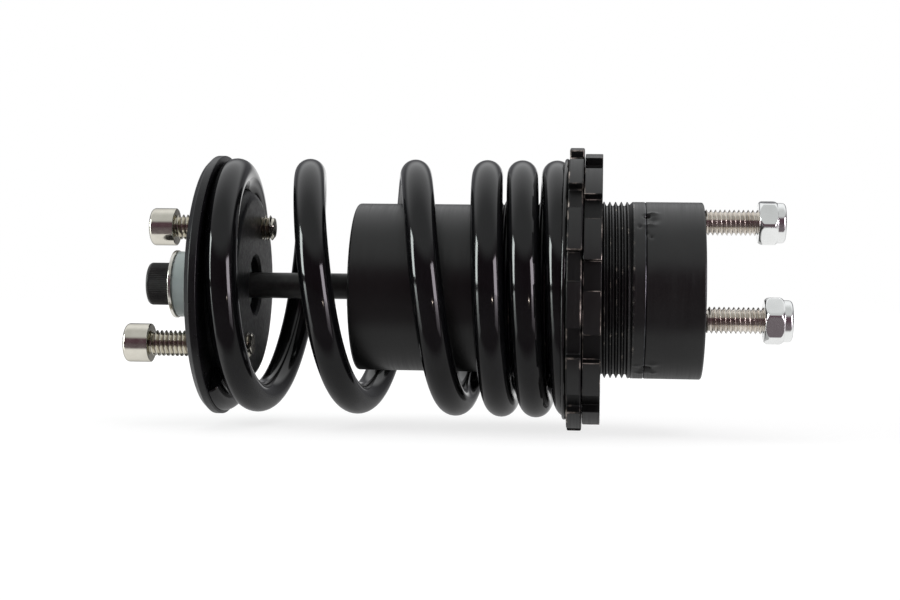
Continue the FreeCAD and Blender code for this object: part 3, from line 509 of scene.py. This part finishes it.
def damper_tube():
    """Smooth tube, open at its mouth, with the adjuster thread and the collar's first part."""
    shell = Shell()
    groove_start, groove_end, groove_depth = MOUTH + 2.0, MOUTH + 3.6, 1.0
    wall = rounded([
        (THREAD_START, TUBE_RADIUS, 0),
        (MOUTH, TUBE_RADIUS, 0.8),
        (MOUTH, BORE_RADIUS, 0.3),
        (groove_start, BORE_RADIUS, 0),
        (groove_start, BORE_RADIUS + groove_depth, 0),
        (groove_end, BORE_RADIUS + groove_depth, 0),
        (groove_end, BORE_RADIUS, 0),
        (SEAM, BORE_RADIUS, 0),
        (SEAM, CREST_RADIUS, SEAM_ROUNDING),
        (SEAM - 0.5, CREST_RADIUS, 0),
    ])
    steps = 14
    length = THREAD_END - SEAM + 0.5
    collar = [(SEAM - 0.5 + length * i / steps, CREST_RADIUS) for i in range(1, steps + 1)]
    shell.lathe(wall + collar, AROUND_COLLAR, ripple=stake_marks)

    def held(x, radius):
        run_out = CREST_RADIUS - RUN_OUT * (THREAD_END - x)
        return max(min(radius, TUBE_RADIUS + RUN_OUT * (x - THREAD_START)), run_out)
    shell.grid(thread_rows(THREAD_START, THREAD_END, TUBE_RADIUS, CREST_RADIUS, THREAD_PITCH, held,
                           (0.0, 0.0), AROUND_COLLAR))
    mesh = shell.mesh("damper_tube")
    wear(mesh, lambda x, radius: THREAD_START < x < THREAD_END + 0.5 and radius > CREST_RADIUS - 0.1)
    wear(mesh, lambda x, radius: x > SEAM - 0.4 and radius > CREST_RADIUS - 0.4, look=2)
    piece("damper_tube", mesh, ["body_black", "thread_crest", "seam_edge"], "damper_body",
          ["threaded_body"])


def closed_end():
    """Collar and closed end, with the joint to the tube showing as a fine line."""
    shell = Shell()
    joint_radius, spigot_radius, hollow_radius = CREST_RADIUS - 0.6, 21.95, 17.95
    edge = rounded([
        (SEAM, joint_radius, 0),
        (SEAM, CREST_RADIUS, SEAM_ROUNDING),
        (SEAM + 0.5, CREST_RADIUS, 0),
    ])
    steps = 68
    start, end = SEAM + 0.6, -0.9
    wall = [(start + (end - start) * i / steps, CREST_RADIUS) for i in range(steps)]
    rim = rounded([(end, CREST_RADIUS, 0), (0.0, CREST_RADIUS, 0.6), (0.0, 0.0, 0)])
    shell.lathe(edge + wall + rim, AROUND_COLLAR, ripple=stake_marks)
    shell.lathe([
        (SEAM, joint_radius),
        (SEAM, spigot_radius),
        (CAP_SPIGOT_END, spigot_radius),
        (CAP_SPIGOT_END, hollow_radius),
        (CAP_HOLLOW_END, hollow_radius),
        (CAP_HOLLOW_END, 0.0),
    ], 96)
    piece("closed_end", shell.mesh("closed_end"), ["body_black"], "damper_body",
          ["end_cap"])


def studs():
    """Two threaded studs with chamfered ends."""
    shell = Shell()
    start, end, buried_end = -0.4, NUT_END - 0.4, -8.0
    core = BOLT_ROOT - 0.25
    for centre in STUDS:
        shell.grid(bolt_thread(start, end, core, centre))
        shell.lathe([(start, core), (buried_end, core), (buried_end, 0.0)], 48, centre)
        shell.lathe([(end, core), (end, 0.0)], 48, centre)
    mesh = shell.mesh("studs")
    for centre in STUDS:
        darken_groove(mesh, 0, NUT_END - 1.5, centre)
    piece("studs", mesh, ["stud_steel", "stud_root"], "damper_body",
          ["mounting_studs"])


NUT_WIDTH = 12.7
# Direction of each nut's first corner, in degrees
NUT_CORNERS = (190.0, 226.0)


def soft_hexagon(corner, away):
    """Distance to a nut's side with rounded corners, away from the nearest corner."""
    middle = (NUT_WIDTH / 2 - corner) / math.cos(math.pi / 6)
    reach = corner ** 2 - (middle * math.sin(away)) ** 2
    flat = NUT_WIDTH / 2 / math.cos(math.pi / 6 - abs(away))
    if reach <= 0 or flat * math.sin(abs(away)) > corner / 2:
        return flat
    return min(flat, middle * math.cos(away) + math.sqrt(reach))


def nut_rows(centre, first_corner):
    """Hexagon of a stud nut, its corners and both its ends rounded."""
    corner, edge_length, edge_depth = 1.5, 0.95, 0.42
    # Distances from an end, closest where the edge is rounded
    lead = [edge_length * (1 - math.cos(math.pi / 2 * k / 8)) for k in range(9)]
    lead += [1.2, 1.4, 1.6, 1.8]
    places = [NUT_START + d for d in lead] + [HEXAGON_END - d for d in reversed(lead)]
    # Degrees from a corner, closest where it is rounded
    half = [1.2, 2.5, 3.8, 5.0, 6.2, 9, 14, 20, 26]
    offsets = [math.radians(d) for d in [-30] + [-d for d in reversed(half)] + [0] + half]
    turns = [(first_corner + i * math.pi / 3 + away, away) for i in range(6) for away in offsets]
    rows = []
    for turn, away in turns + turns[:1]:
        side = soft_hexagon(corner, away)
        row = [around(NUT_START, BOLT_RADIUS - 0.3, turn, centre)]
        for x in places:
            near = min(x - NUT_START, HEXAGON_END - x)
            share = 1 - min(near / edge_length, 1.0)
            rounding = edge_depth * (1 - math.sqrt(1 - share * share))
            cone = NUT_WIDTH / 2 + 0.62 * near
            row.append(around(x, min(side, cone) - rounding, turn, centre))
        row.append(around(HEXAGON_END, 5.6, turn, centre))
        rows.append(row)
    return rows


def nuts():
    """Lock nuts: hexagon, round collar and rolled lip over the locking ring."""
    collar_radius, insert_radius, lip_thickness = 6.15, 5.1, 0.5
    lip_end = NUT_END - lip_thickness
    shell = Shell()
    for centre, first_corner in zip(STUDS, NUT_CORNERS):
        shell.grid(nut_rows(centre, math.radians(first_corner)))
        shell.lathe(rounded([
            (HEXAGON_END - 0.2, collar_radius, 0),
            (NUT_END, collar_radius, 1.1),
            (NUT_END, 4.25, 0.2),
            (lip_end, 4.05, 0),
            (lip_end, insert_radius, 0),
            (HEXAGON_END, insert_radius, 0),
        ]), 96, centre)
    piece("lock_nuts", shell.mesh("lock_nuts"), ["nut_plating"], "damper_body",
          ["stud_nuts"])


# Spring

WIRE_RADIUS = 4.75
COIL_RADIUS = 34.75
COIL_TURNS = 6.149
COIL_ANGLE = math.radians(236.0)
# The ends are ground flat just clear of plate and seat
GROUND_PLATE = -147.2
GROUND_SEAT = -42.0
PLATE_PITCH = 8.15
BASE_PITCH = 10.6
# How far inside the plate and the seat the wire's middle starts and ends
PLATE_GRIND = 1.37
BASE_GRIND = 3.3
# Turns over which the pitch opens from the plate's and closes to the base's
OPENING = (0.479, 1.539)
CLOSING = (2.419, 3.839)
WIRE_SIDES = 40


def eased(turn, span):
    """How far a smooth step from 0 to 1 has added up by this turn."""
    first, last = span
    if turn <= first:
        return 0.0
    if turn >= last:
        return (last - first) / 2 + (turn - last)
    share = (turn - first) / (last - first)
    return (last - first) * (share ** 3 - share ** 4 / 2)


def advance(turn):
    """Place of the wire's centre along the strut after so many turns."""
    start = PLATE_FACE - PLATE_GRIND
    finish = SEAT_FACE + BASE_GRIND
    opened = eased(COIL_TURNS, OPENING)
    closed = eased(COIL_TURNS, CLOSING)
    rest = finish - start - PLATE_PITCH * (COIL_TURNS - opened) - BASE_PITCH * closed
    open_pitch = rest / (opened - closed)
    rise = eased(turn, OPENING)
    fall = eased(turn, CLOSING)
    return start + PLATE_PITCH * (turn - rise) + open_pitch * (rise - fall) + BASE_PITCH * fall


def ground(x, across, middle):
    """Moves a point of the wire's section onto the ground face that cuts it."""
    for face, side in ((GROUND_PLATE, 1), (GROUND_SEAT, -1)):
        if side * (x - face) < 0:
            x = face
            past = side * (face - middle)
            if past > 0:
                chord = math.sqrt(max(WIRE_RADIUS ** 2 - past ** 2, 0.0))
                across = min(max(across, -chord), chord)
    return x, across


def wire_row(turn, inset=1.0, back=0.0):
    """Points round the wire after so many turns, its radius scaled by inset, moved on by back."""
    middle = advance(turn)
    step = 1e-4
    rise = (advance(turn + step) - advance(turn - step)) / (2 * step)
    lean = math.atan2(rise, 2 * math.pi * COIL_RADIUS)
    angle = COIL_ANGLE + 2 * math.pi * turn
    row = []
    for spin in turns_around(WIRE_SIDES):
        along = WIRE_RADIUS * inset * math.cos(spin)
        across = WIRE_RADIUS * inset * math.sin(spin)
        x, across = ground(middle + along * math.cos(lean), across, middle)
        shift = -along * math.sin(lean) / COIL_RADIUS + back / COIL_RADIUS
        row.append(around(x, COIL_RADIUS + across, angle + shift))
    return row


def spring():
    """Closed and ground spring, wound right-handed."""
    steps = 720
    # Three rows close each end of the wire with a small rounding
    end_rows = ((0.0, 0.0), (0.92, 0.0), (1.0, 0.35))
    rows = [wire_row(0.0, inset, back) for inset, back in end_rows]
    rows += [wire_row(COIL_TURNS * i / steps) for i in range(1, steps)]
    rows += [wire_row(COIL_TURNS, inset, -back) for inset, back in reversed(end_rows)]
    shell = Shell()
    shell.grid(rows)
    made = piece("spring_wire", shell.mesh("spring_wire"), ["spring_coating"], "damper_body",
                 ["coil_spring"])
    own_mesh(made)


# Top

def circle(x, radius, segments, centre=(0.0, 0.0)):
    """Points of a circle across the strut."""
    return [around(x, radius, 2 * math.pi * i / segments, centre) for i in range(segments)]


def outline(made, points):
    """Corners and edges of a closed outline, for a flat face to be filled inside."""
    corners = [made.verts.new(point * MM) for point in points]
    count = len(corners)
    edges = [made.edges.new((corners[i], corners[(i + 1) % count])) for i in range(count)]
    return corners, edges


def plate():
    """Top plate with its bevelled rim, middle hole and two screw holes."""
    rim_radius, top_radius, face_radius, bevel = 40.25, 38.4, 39.9, 1.63
    bore, recess, recess_depth, hole, chamfer = 9.0, 10.65, 0.4, 4.3, 0.25
    made = bmesh.new()
    for x, outer, inner in ((PLATE_TOP, top_radius, recess), (PLATE_FACE, face_radius, bore + chamfer)):
        edges = outline(made, circle(x, outer, 192))[1]
        for centre, _ in TOP_SCREWS:
            edges += outline(made, circle(x, hole + chamfer, 64, centre))[1]
        edges += outline(made, circle(x, inner, 64))[1]
        bmesh.ops.triangle_fill(made, use_beauty=True, edges=edges)
    faces = bpy.data.meshes.new("plate_faces")
    made.to_mesh(faces)
    made.free()
    shell = Shell()
    shell.points = [vertex.co / MM for vertex in faces.vertices]
    shell.faces = [tuple(face.vertices) for face in faces.polygons]
    bpy.data.meshes.remove(faces)
    shell.lathe(rounded([
        (PLATE_TOP, top_radius, 0),
        (PLATE_TOP, rim_radius - bevel, 0.3),
        (PLATE_TOP + bevel, rim_radius, 0.6),
        (PLATE_FACE, rim_radius, 0.33),
        (PLATE_FACE, face_radius, 0),
    ]), 192)
    shell.lathe([
        (PLATE_TOP, recess),
        (PLATE_TOP + recess_depth, recess),
        (PLATE_TOP + recess_depth, bore),
        (PLATE_FACE - chamfer, bore),
        (PLATE_FACE, bore + chamfer),
    ], 64)
    for centre, _ in TOP_SCREWS:
        shell.lathe([
            (PLATE_TOP, hole + chamfer),
            (PLATE_TOP + chamfer, hole),
            (PLATE_FACE - chamfer, hole),
            (PLATE_FACE, hole + chamfer),
        ], 64, centre)
    piece("plate", shell.mesh("plate"), ["plate_black"], "top_perch", ["top_plate"])


def grainy(x, radius, turn):
    """Lumps of a rough casting, none above the boss's drawn surface."""
    lump_height, edge_length = 0.07, 3.0
    if radius < 9.5:
        return x, radius
    spot = around(x, radius, turn)
    lump = 0.6 * noise.noise(spot * 0.22) + 0.4 * noise.noise(spot * 0.5)
    depth = lump_height * (0.5 + 0.5 * lump)
    face = min(max((x - BOSS_FACE + edge_length) / edge_length, 0.0), 1.0)
    return x - depth * face, radius - depth * (1 - face)


def boss():
    """Cast boss that centres the spring, its screw holes filled by the screws."""
    shell = Shell()
    shoulder, bore, bore_chamfer = 3.8, 9.0, 0.8
    rim = rounded([
        (PLATE_FACE, CENTRING_RADIUS, 0),
        (BOSS_FACE, CENTRING_RADIUS, shoulder),
        (BOSS_FACE, 10.0, 0),
    ], 12)
    wall = [(PLATE_FACE + 0.5 * i, CENTRING_RADIUS) for i in range(11)]
    face = [(BOSS_FACE, 25.6 - 0.5 * i) for i in range(31)]
    inside = [
        (BOSS_FACE, bore + bore_chamfer),
        (BOSS_FACE - bore_chamfer, bore),
        (PLATE_FACE, bore),
        (PLATE_FACE, CENTRING_RADIUS),
    ]
    shell.lathe(wall + rim[1:-1] + face + inside, 360, ripple=grainy)
    piece("boss", shell.mesh("boss"), ["locator_cast"], "top_perch",
          ["spring_locator"])


def cap_screws():
    """Two socket-head screws, threaded up to the head."""
    head_height, head_radius, key, length = 7.94, 5.95, 6.35, 31.75
    core = BOLT_ROOT - 0.2
    shell = Shell()
    for centre, under in TOP_SCREWS:
        top = under - head_height
        mouth = socket(shell, top, key, centre)
        shell.lathe(rounded([
            (top, mouth, 0),
            (top, head_radius, 1.25),
            (under, head_radius, 0.35),
            (under, core, 0),
        ]), 96, centre)
        tip = under + length
        shell.grid(bolt_thread(under - 0.3, tip, core, centre, slope=1.2))
        shell.lathe([(tip, core), (tip, 0.0)], 48, centre)
    mesh = shell.mesh("cap_screws")
    for centre, under in TOP_SCREWS:
        darken_groove(mesh, under + 0.3, under + length - 0.75, centre)
    piece("cap_screws", mesh, ["screw_chrome", "thread_root"], "top_perch",
          ["top_screws"])


HEAD_RADIUS = 6.63
KNURL_RIDGES = 66
KNURL_DEPTH = 0.2


def knurl(x, radius, turn):
    """Fine straight knurling round the middle screw's head."""
    if radius < HEAD_RADIUS - 0.08 or not HEAD_TOP + 1.1 < x < HEAD_UNDERSIDE - 0.7:
        return x, min(radius, HEAD_RADIUS)
    wave = abs((turn * KNURL_RIDGES / (2 * math.pi)) % 1.0 - 0.5) * 2
    return x, radius - KNURL_DEPTH * wave


def middle_screw():
    """Long black screw: knurled head outside, plain shank as the rod."""
    shell = Shell()
    mouth = socket(shell, HEAD_TOP, 6.0)
    head = rounded([
        (HEAD_TOP, mouth, 0),
        (HEAD_TOP, HEAD_RADIUS, 0.9),
        (HEAD_TOP + 1.15, HEAD_RADIUS, 0),
    ])
    side = [(HEAD_TOP + 1.2 + 0.35 * i, HEAD_RADIUS + 0.005) for i in range(17)]
    foot_radius = HEAD_RADIUS - 0.03
    tail = rounded([
        (HEAD_UNDERSIDE - 0.6, foot_radius, 0),
        (HEAD_UNDERSIDE, foot_radius, 0.3),
        (HEAD_UNDERSIDE, ROD_RADIUS, 0),
        (ROD_CHAMFER, ROD_RADIUS, 0),
        (ROD_END, ROD_RADIUS - 1.0, 0),
        (ROD_END, 0.0, 0),
    ])
    shell.lathe(head + side + tail, 4 * KNURL_RIDGES, ripple=knurl)
    piece("middle_screw", shell.mesh("middle_screw"), ["black_oxide"], "rod",
          ["centre_screw"])


def washer():
    """Thin steel washer under the middle screw's head."""
    bore, outside = 4.2, 10.6
    shell = Shell()
    shell.lathe(rounded([
        (HEAD_UNDERSIDE, bore, 0),
        (HEAD_UNDERSIDE, outside, 0.3),
        (WASHER_END, outside, 0.3),
        (WASHER_END, bore, 0),
        (HEAD_UNDERSIDE, bore, 0),
    ], 3))
    piece("washer", shell.mesh("washer"), ["washer_steel"], "rod",
          ["centre_washer"])


def bushing():
    """Nylon bushing that the plate turns on."""
    bore, flange, sleeve = 4.05, 10.25, 8.95
    shell = Shell()
    shell.lathe(rounded([
        (WASHER_END, bore, 0),
        (WASHER_END, flange, 0.5),
        (BUSHING_STEP, flange, 0.3),
        (BUSHING_STEP, sleeve, 0),
        (BUSHING_END, sleeve, 0.5),
        (BUSHING_END, bore, 0),
        (WASHER_END, bore, 0),
    ]))
    piece("bushing", shell.mesh("bushing"), ["bushing_nylon"], "rod",
          ["nylon_bushing"])


# Adjuster

def seat():
    """Thin flange of the spring seat with its spigot inside the spring."""
    flange, rounding = 40.0, 0.66
    shell = Shell()
    shell.lathe(rounded([
        (SPIGOT_END, SEAT_BORE, 0),
        (SPIGOT_END, CENTRING_RADIUS, 0.5),
        (SEAT_FACE, CENTRING_RADIUS, 0),
        (SEAT_FACE, flange, rounding),
        (SEAT_BACK, flange, rounding),
        (SEAT_BACK, SEAT_BORE, 0),
        (SPIGOT_END, SEAT_BORE, 0),
    ]), 192)
    piece("seat", shell.mesh("seat"), ["seat_black"], "spring_seat",
          ["spring_seat"])


def notched(radius, first_tooth):
    """Radius and turn of the corners round a ring with twelve square notches."""
    half_width, depth = 4.4, 2.9
    bottom = radius - depth
    corner = math.hypot(bottom, half_width)
    low = math.atan2(half_width, bottom)
    side = math.asin(half_width / radius)
    span = math.pi / 6 - 2 * side
    corners = []
    for i in range(12):
        notch = math.pi - math.radians(first_tooth) + math.pi / 12 + i * math.pi / 6
        corners += [(radius, notch - side), (corner, notch - low), (corner, notch + low)]
        corners += [(radius, notch + side + span * k / 6) for k in range(6)]
    return corners


def castle_ring(name, places, radius, first_tooth, body, node):
    """Notched ring with small bevels that carry the wear."""
    edge_look, cut_and_shade_look = 1, 2
    made = bmesh.new()
    loops = []
    for x in places:
        teeth, edges = outline(made, [around(x, r, turn) for r, turn in notched(radius, first_tooth)])
        bore, bore_edges = outline(made, circle(x, SEAT_BORE, 128))
        loops.append((teeth, bore))
        bmesh.ops.triangle_fill(made, use_beauty=True, edges=edges + bore_edges)
    for first, second in zip(*loops):
        count = len(first)
        for i in range(count):
            k = (i + 1) % count
            made.faces.new((first[i], first[k], second[k], second[i]))
    bmesh.ops.recalc_face_normals(made, faces=made.faces)
    bmesh.ops.dissolve_limit(made, angle_limit=math.radians(1.0), verts=made.verts,
                             edges=made.edges)
    for face in made.faces:
        middle = face.calc_center_median() / MM
        away = math.hypot(middle.y, middle.z)
        # Faces of the notches' sides and floors take the milled look with its painted shade
        if abs(face.normal.x) < 0.5 and SEAT_BORE + 1.0 < away < radius - 0.8:
            face.material_index = cut_and_shade_look
    crisp = [edge for edge in made.edges
             if len(edge.link_faces) == 2 and edge.calc_face_angle(0.0) > math.radians(30)]
    cut = bmesh.ops.bevel(made, geom=crisp, offset=0.44 * MM, segments=3, profile=0.5,
                          affect="EDGES", clamp_overlap=True)
    for face in cut["faces"]:
        face.material_index = edge_look
    mesh = bpy.data.meshes.new(name)
    made.to_mesh(mesh)
    made.free()
    piece(name, mesh, ["ring_black", "ring_edge", "ring_cut_and_shade"], body, [node])


def finish_hidden_nodes():
    """The pieces that stay as the CAD model has them get their finished materials."""
    slots = {
        "end_cap_o_ring": "seal_rubber",
        "guide_o_ring": "seal_rubber",
        "floating_piston_o_ring": "seal_rubber",
        "rod_seal": "seal_rubber",
        "wiper_seal": "seal_rubber",
        "rod_guide": "guide_metal",
        "guide_bush": "bush_bronze",
        "retaining_clip": "clip_steel",
        "rebound_bumper": "bumper_rubber",
        "piston_nuts": "nut_plating",
        "rebound_shims": "clip_steel",
        "compression_shims": "clip_steel",
        "piston": "guide_metal",
        "piston_band": "band_plastic",
        "floating_piston": "guide_metal",
        "nut_inserts": "insert_nylon",
    }
    for name, look in slots.items():
        for slot in frame["nodes"][name].material_slots:
            slot.material = LOOKS[look]


# Studio

WHITE = (1.0, 1.0, 1.0)

CAMERA_PLACE = (-0.0308, -0.5, -0.0038)
CAMERA_YAW = math.radians(5.28)
CAMERA_ROLL = math.radians(0.83)
# In millimetres, on a sensor 36 wide
FOCAL_LENGTH = 64.88

# What a reflection meets, and the directions over which one changes into the next
DARK_ROOM = (0.092, 0.054, 0.07)
BACK_ROOM = (0.18, 0.18, 0.19)
CEILING = (0.56, 0.57, 0.57)
BACK_CEILING = (0.93, 0.94, 0.95)
CEILING_STEP = (0.34, 0.60)
BACK_STEP = (-0.3, 0.4)
STRAIGHT_BACK_STEP = (0.965, 0.994)
DIFFUSE_LEVEL = (0.3, 0.3, 0.3)

# What a reflection meets of the floor, and the places where one changes into the next: painted shade in
# front, dark and tinted, and a painted shadow of the strut below, greyer than the lit floor beside it
FLOOR_PAINTED_SHADE_FRONT = (0.062, 0.034, 0.046)
FLOOR_PAINTED_SHADOW_BELOW = (0.42, 0.42, 0.42)
FLOOR_BESIDE = (0.9, 0.9, 0.9)
FRONT_STEP = (-0.039, -0.055)
LEFT_STEP = (-0.145, -0.165)
RIGHT_STEP = (0.0, 0.015)
BEHIND_STEP = (0.12, 0.35)

FLOOR_LEVEL = -0.0434
FLOOR_HALF_WIDTH = 8.0
# Brightness of the floor's own glow as the camera sees it
FLOOR_GLOW = (1.16, 1.16, 1.16)
# The glow's share near the strut, and the distances over which it grows to the whole
NEAR_GLOW = 0.68
OPEN_STEP = (0.22, 0.5)
# The glow's share in reflections
MIRRORED_GLOW = 0.9


def camera():
    """Camera half a metre in front, turned and rolled a little as in the photograph."""
    ahead = Vector((-math.sin(CAMERA_YAW), math.cos(CAMERA_YAW), 0.0))
    level = Vector((math.cos(CAMERA_YAW), math.sin(CAMERA_YAW), 0.0))
    up = Vector((0.0, 0.0, 1.0))
    right = level * math.cos(CAMERA_ROLL) + up * math.sin(CAMERA_ROLL)
    top = up * math.cos(CAMERA_ROLL) - level * math.sin(CAMERA_ROLL)
    lens = bpy.data.cameras.new("camera")
    lens.sensor_width = 36.0
    lens.lens = FOCAL_LENGTH
    lens.clip_start = 0.01
    made = bpy.data.objects.new("camera", lens)
    turn = Matrix((right, top, -ahead)).transposed().to_4x4()
    made.matrix_world = Matrix.Translation(CAMERA_PLACE) @ turn
    bpy.context.scene.collection.objects.link(made)
    bpy.context.scene.camera = made


def lamp(name, place, target, size, radiance, colour=WHITE, mirrored=True, lights=True,
         spread=180):
    """A rectangular lamp, its strength given as the radiance of its face."""
    width, height = size
    light = bpy.data.lights.new(name, "AREA")
    light.shape = "RECTANGLE"
    light.size = width
    light.size_y = height
    light.spread = math.radians(spread)
    light.energy = radiance * math.pi * width * height
    light.color = colour
    made = bpy.data.objects.new(name, light)
    made.location = place
    made.visible_camera = False
    made.visible_glossy = mirrored
    made.visible_diffuse = lights
    made.rotation_euler = (Vector(target) - Vector(place)).to_track_quat("-Z", "Y").to_euler()
    bpy.context.scene.collection.objects.link(made)


def lamps():
    """A large lamp overhead, a window at each side and a small warm lamp low in front."""
    lamp("overhead", (-0.05, 0.1, 1.2), (-0.05, 0, 0), size=(1.6, 1.2), radiance=1.6,
         mirrored=False)
    lamp("left_window", (-1.24, -0.31, 0.30), (-0.07, 0, 0), size=(0.36, 0.60), radiance=13.0,
         colour=(0.93, 1.0, 0.98))
    lamp("right_window", (0.92, -0.55, 0.20), (-0.05, 0, 0), size=(0.44, 0.5), radiance=7.5,
         colour=(1.0, 0.92, 1.0))
    lamp("low_lamp", (0.074, -0.243, -0.038), (-0.070, -0.035, -0.003), size=(0.022, 0.003),
         radiance=3.6, colour=(1.0, 0.86, 0.74), lights=False, spread=34)


def stepped(tree, value, span, bottom=0.0, top=1.0):
    """A smooth step from bottom to top as a value goes over a span."""
    made = tree.nodes.new("ShaderNodeMapRange")
    made.interpolation_type = "SMOOTHSTEP"
    socket_names = ("From Min", "From Max", "To Min", "To Max")
    for socket_name, number in zip(socket_names, (*span, bottom, top)):
        made.inputs[socket_name].default_value = number
    tree.links.new(value, made.inputs["Value"])
    return made.outputs["Result"]


def joined(tree, operation, first, second):
    """Two values, or a value and a number, put through one sum."""
    made = tree.nodes.new("ShaderNodeMath")
    made.operation = operation
    for entry, value in zip(made.inputs, (first, second)):
        if isinstance(value, float):
            entry.default_value = value
        else:
            tree.links.new(value, entry)
    return made.outputs["Value"]


def mixed(tree, share, first, second):
    """A colour between two, each a colour or an output."""
    made = tree.nodes.new("ShaderNodeMix")
    made.data_type = "RGBA"
    tree.links.new(share, made.inputs[0])
    for entry, value in ((made.inputs[6], first), (made.inputs[7], second)):
        if isinstance(value, tuple):
            entry.default_value = rgba(value)
        else:
            tree.links.new(value, entry)
    return made.outputs[2]


def seen_by_camera(tree, path):
    """One for a ray from the camera, also through something clear."""
    return joined(tree, "MAXIMUM", path.outputs["Is Camera Ray"],
                  path.outputs["Is Transmission Ray"])


def world():
    """White background, an even level for diffuse light, and a studio that is dark in front."""
    made = bpy.data.worlds.new("studio")
    made.use_nodes = True
    bpy.context.scene.world = made
    tree = made.node_tree
    tree.nodes.clear()
    place = tree.nodes.new("ShaderNodeTexCoord")
    parts = tree.nodes.new("ShaderNodeSeparateXYZ")
    tree.links.new(place.outputs["Generated"], parts.inputs["Vector"])
    path = tree.nodes.new("ShaderNodeLightPath")
    high = stepped(tree, parts.outputs["Z"], CEILING_STEP)
    behind = stepped(tree, parts.outputs["Y"], BACK_STEP)
    low_room = mixed(tree, behind, DARK_ROOM, BACK_ROOM)
    high_room = mixed(tree, behind, CEILING, BACK_CEILING)
    open_room = mixed(tree, high, low_room, high_room)
    # Straight behind the object a reflection meets the white background
    room = mixed(tree, stepped(tree, parts.outputs["Y"], STRAIGHT_BACK_STEP), open_room, WHITE)
    level = mixed(tree, path.outputs["Is Glossy Ray"], DIFFUSE_LEVEL, room)
    seen = seen_by_camera(tree, path)
    back = tree.nodes.new("ShaderNodeBackground")
    tree.links.new(mixed(tree, seen, level, WHITE), back.inputs["Color"])
    out = tree.nodes.new("ShaderNodeOutputWorld")
    tree.links.new(back.outputs["Background"], out.inputs["Surface"])


def floor():
    """Pale floor that keeps the object's shadow and meets the white background."""
    mesh = bpy.data.meshes.new("floor")
    corners = [(x * FLOOR_HALF_WIDTH, y * FLOOR_HALF_WIDTH, FLOOR_LEVEL)
               for x, y in ((-1, -1), (1, -1), (1, 1), (-1, 1))]
    mesh.from_pydata(corners, [], [(0, 1, 2, 3)])
    made = bpy.data.objects.new("floor", mesh)
    bpy.context.scene.collection.objects.link(made)
    look = bpy.data.materials.new("floor")
    look.use_nodes = True
    tree = look.node_tree
    tree.nodes.clear()
    matt = tree.nodes.new("ShaderNodeBsdfDiffuse")
    matt.inputs["Color"].default_value = (0.8, 0.8, 0.8, 1)
    spot = tree.nodes.new("ShaderNodeNewGeometry")
    parts = tree.nodes.new("ShaderNodeSeparateXYZ")
    tree.links.new(spot.outputs["Position"], parts.inputs["Vector"])
    distance = tree.nodes.new("ShaderNodeVectorMath")
    distance.operation = "LENGTH"
    tree.links.new(spot.outputs["Position"], distance.inputs[0])
    path = tree.nodes.new("ShaderNodeLightPath")
    along, across = parts.outputs["X"], parts.outputs["Y"]
    # Reflections meet the white floor behind, the lit floor beside the strut, a painted shadow of the
    # strut below it and painted shade, dark and tinted, in front
    front = stepped(tree, across, FRONT_STEP)
    beside = joined(tree, "MAXIMUM", stepped(tree, along, LEFT_STEP), stepped(tree, along, RIGHT_STEP))
    near = mixed(tree, beside, FLOOR_PAINTED_SHADOW_BELOW, FLOOR_BESIDE)
    below = mixed(tree, front, near, FLOOR_PAINTED_SHADE_FRONT)
    mirrored = mixed(tree, stepped(tree, across, BEHIND_STEP), below, WHITE)
    # The floor glows for reflections with this painted shade and shadow, though it is no lamp
    glow = tree.nodes.new("ShaderNodeEmission")
    tree.links.new(mixed(tree, path.outputs["Is Glossy Ray"], FLOOR_GLOW, mirrored),
                   glow.inputs["Color"])
    seen = seen_by_camera(tree, path)
    open_floor = stepped(tree, distance.outputs["Value"], OPEN_STEP, NEAR_GLOW)
    share = joined(tree, "MAXIMUM", joined(tree, "MULTIPLY", seen, open_floor),
                   joined(tree, "MULTIPLY", path.outputs["Is Glossy Ray"], MIRRORED_GLOW))
    both = tree.nodes.new("ShaderNodeMixShader")
    tree.links.new(share, both.inputs[0])
    tree.links.new(matt.outputs["BSDF"], both.inputs[1])
    tree.links.new(glow.outputs["Emission"], both.inputs[2])
    # Seen in the object, the floor is polished and mirrors the windows at a low angle
    polish = tree.nodes.new("ShaderNodeBsdfGlossy")
    polish.inputs["Roughness"].default_value = 0.08
    low_angle = tree.nodes.new("ShaderNodeFresnel")
    polished = tree.nodes.new("ShaderNodeMixShader")
    tree.links.new(joined(tree, "MULTIPLY", path.outputs["Is Glossy Ray"], low_angle.outputs["Fac"]),
                   polished.inputs[0])
    tree.links.new(both.outputs["Shader"], polished.inputs[1])
    tree.links.new(polish.outputs["BSDF"], polished.inputs[2])
    out = tree.nodes.new("ShaderNodeOutputMaterial")
    tree.links.new(polished.outputs["Shader"], out.inputs["Surface"])
    mesh.materials.append(look)


camera()
damper_tube()
closed_end()
studs()
nuts()
spring()
plate()
boss()
cap_screws()
middle_screw()
washer()
bushing()
seat()
castle_ring("adjuster", ADJUSTER, 43.3, -6.4, "adjuster_ring", "adjuster_ring")
castle_ring("locker", LOCK_RING, 41.5, -9.8, "lock_ring", "lock_ring")
finish_hidden_nodes()
world()
floor()
lamps()

bpy.context.scene.view_settings.view_transform = "Standard"
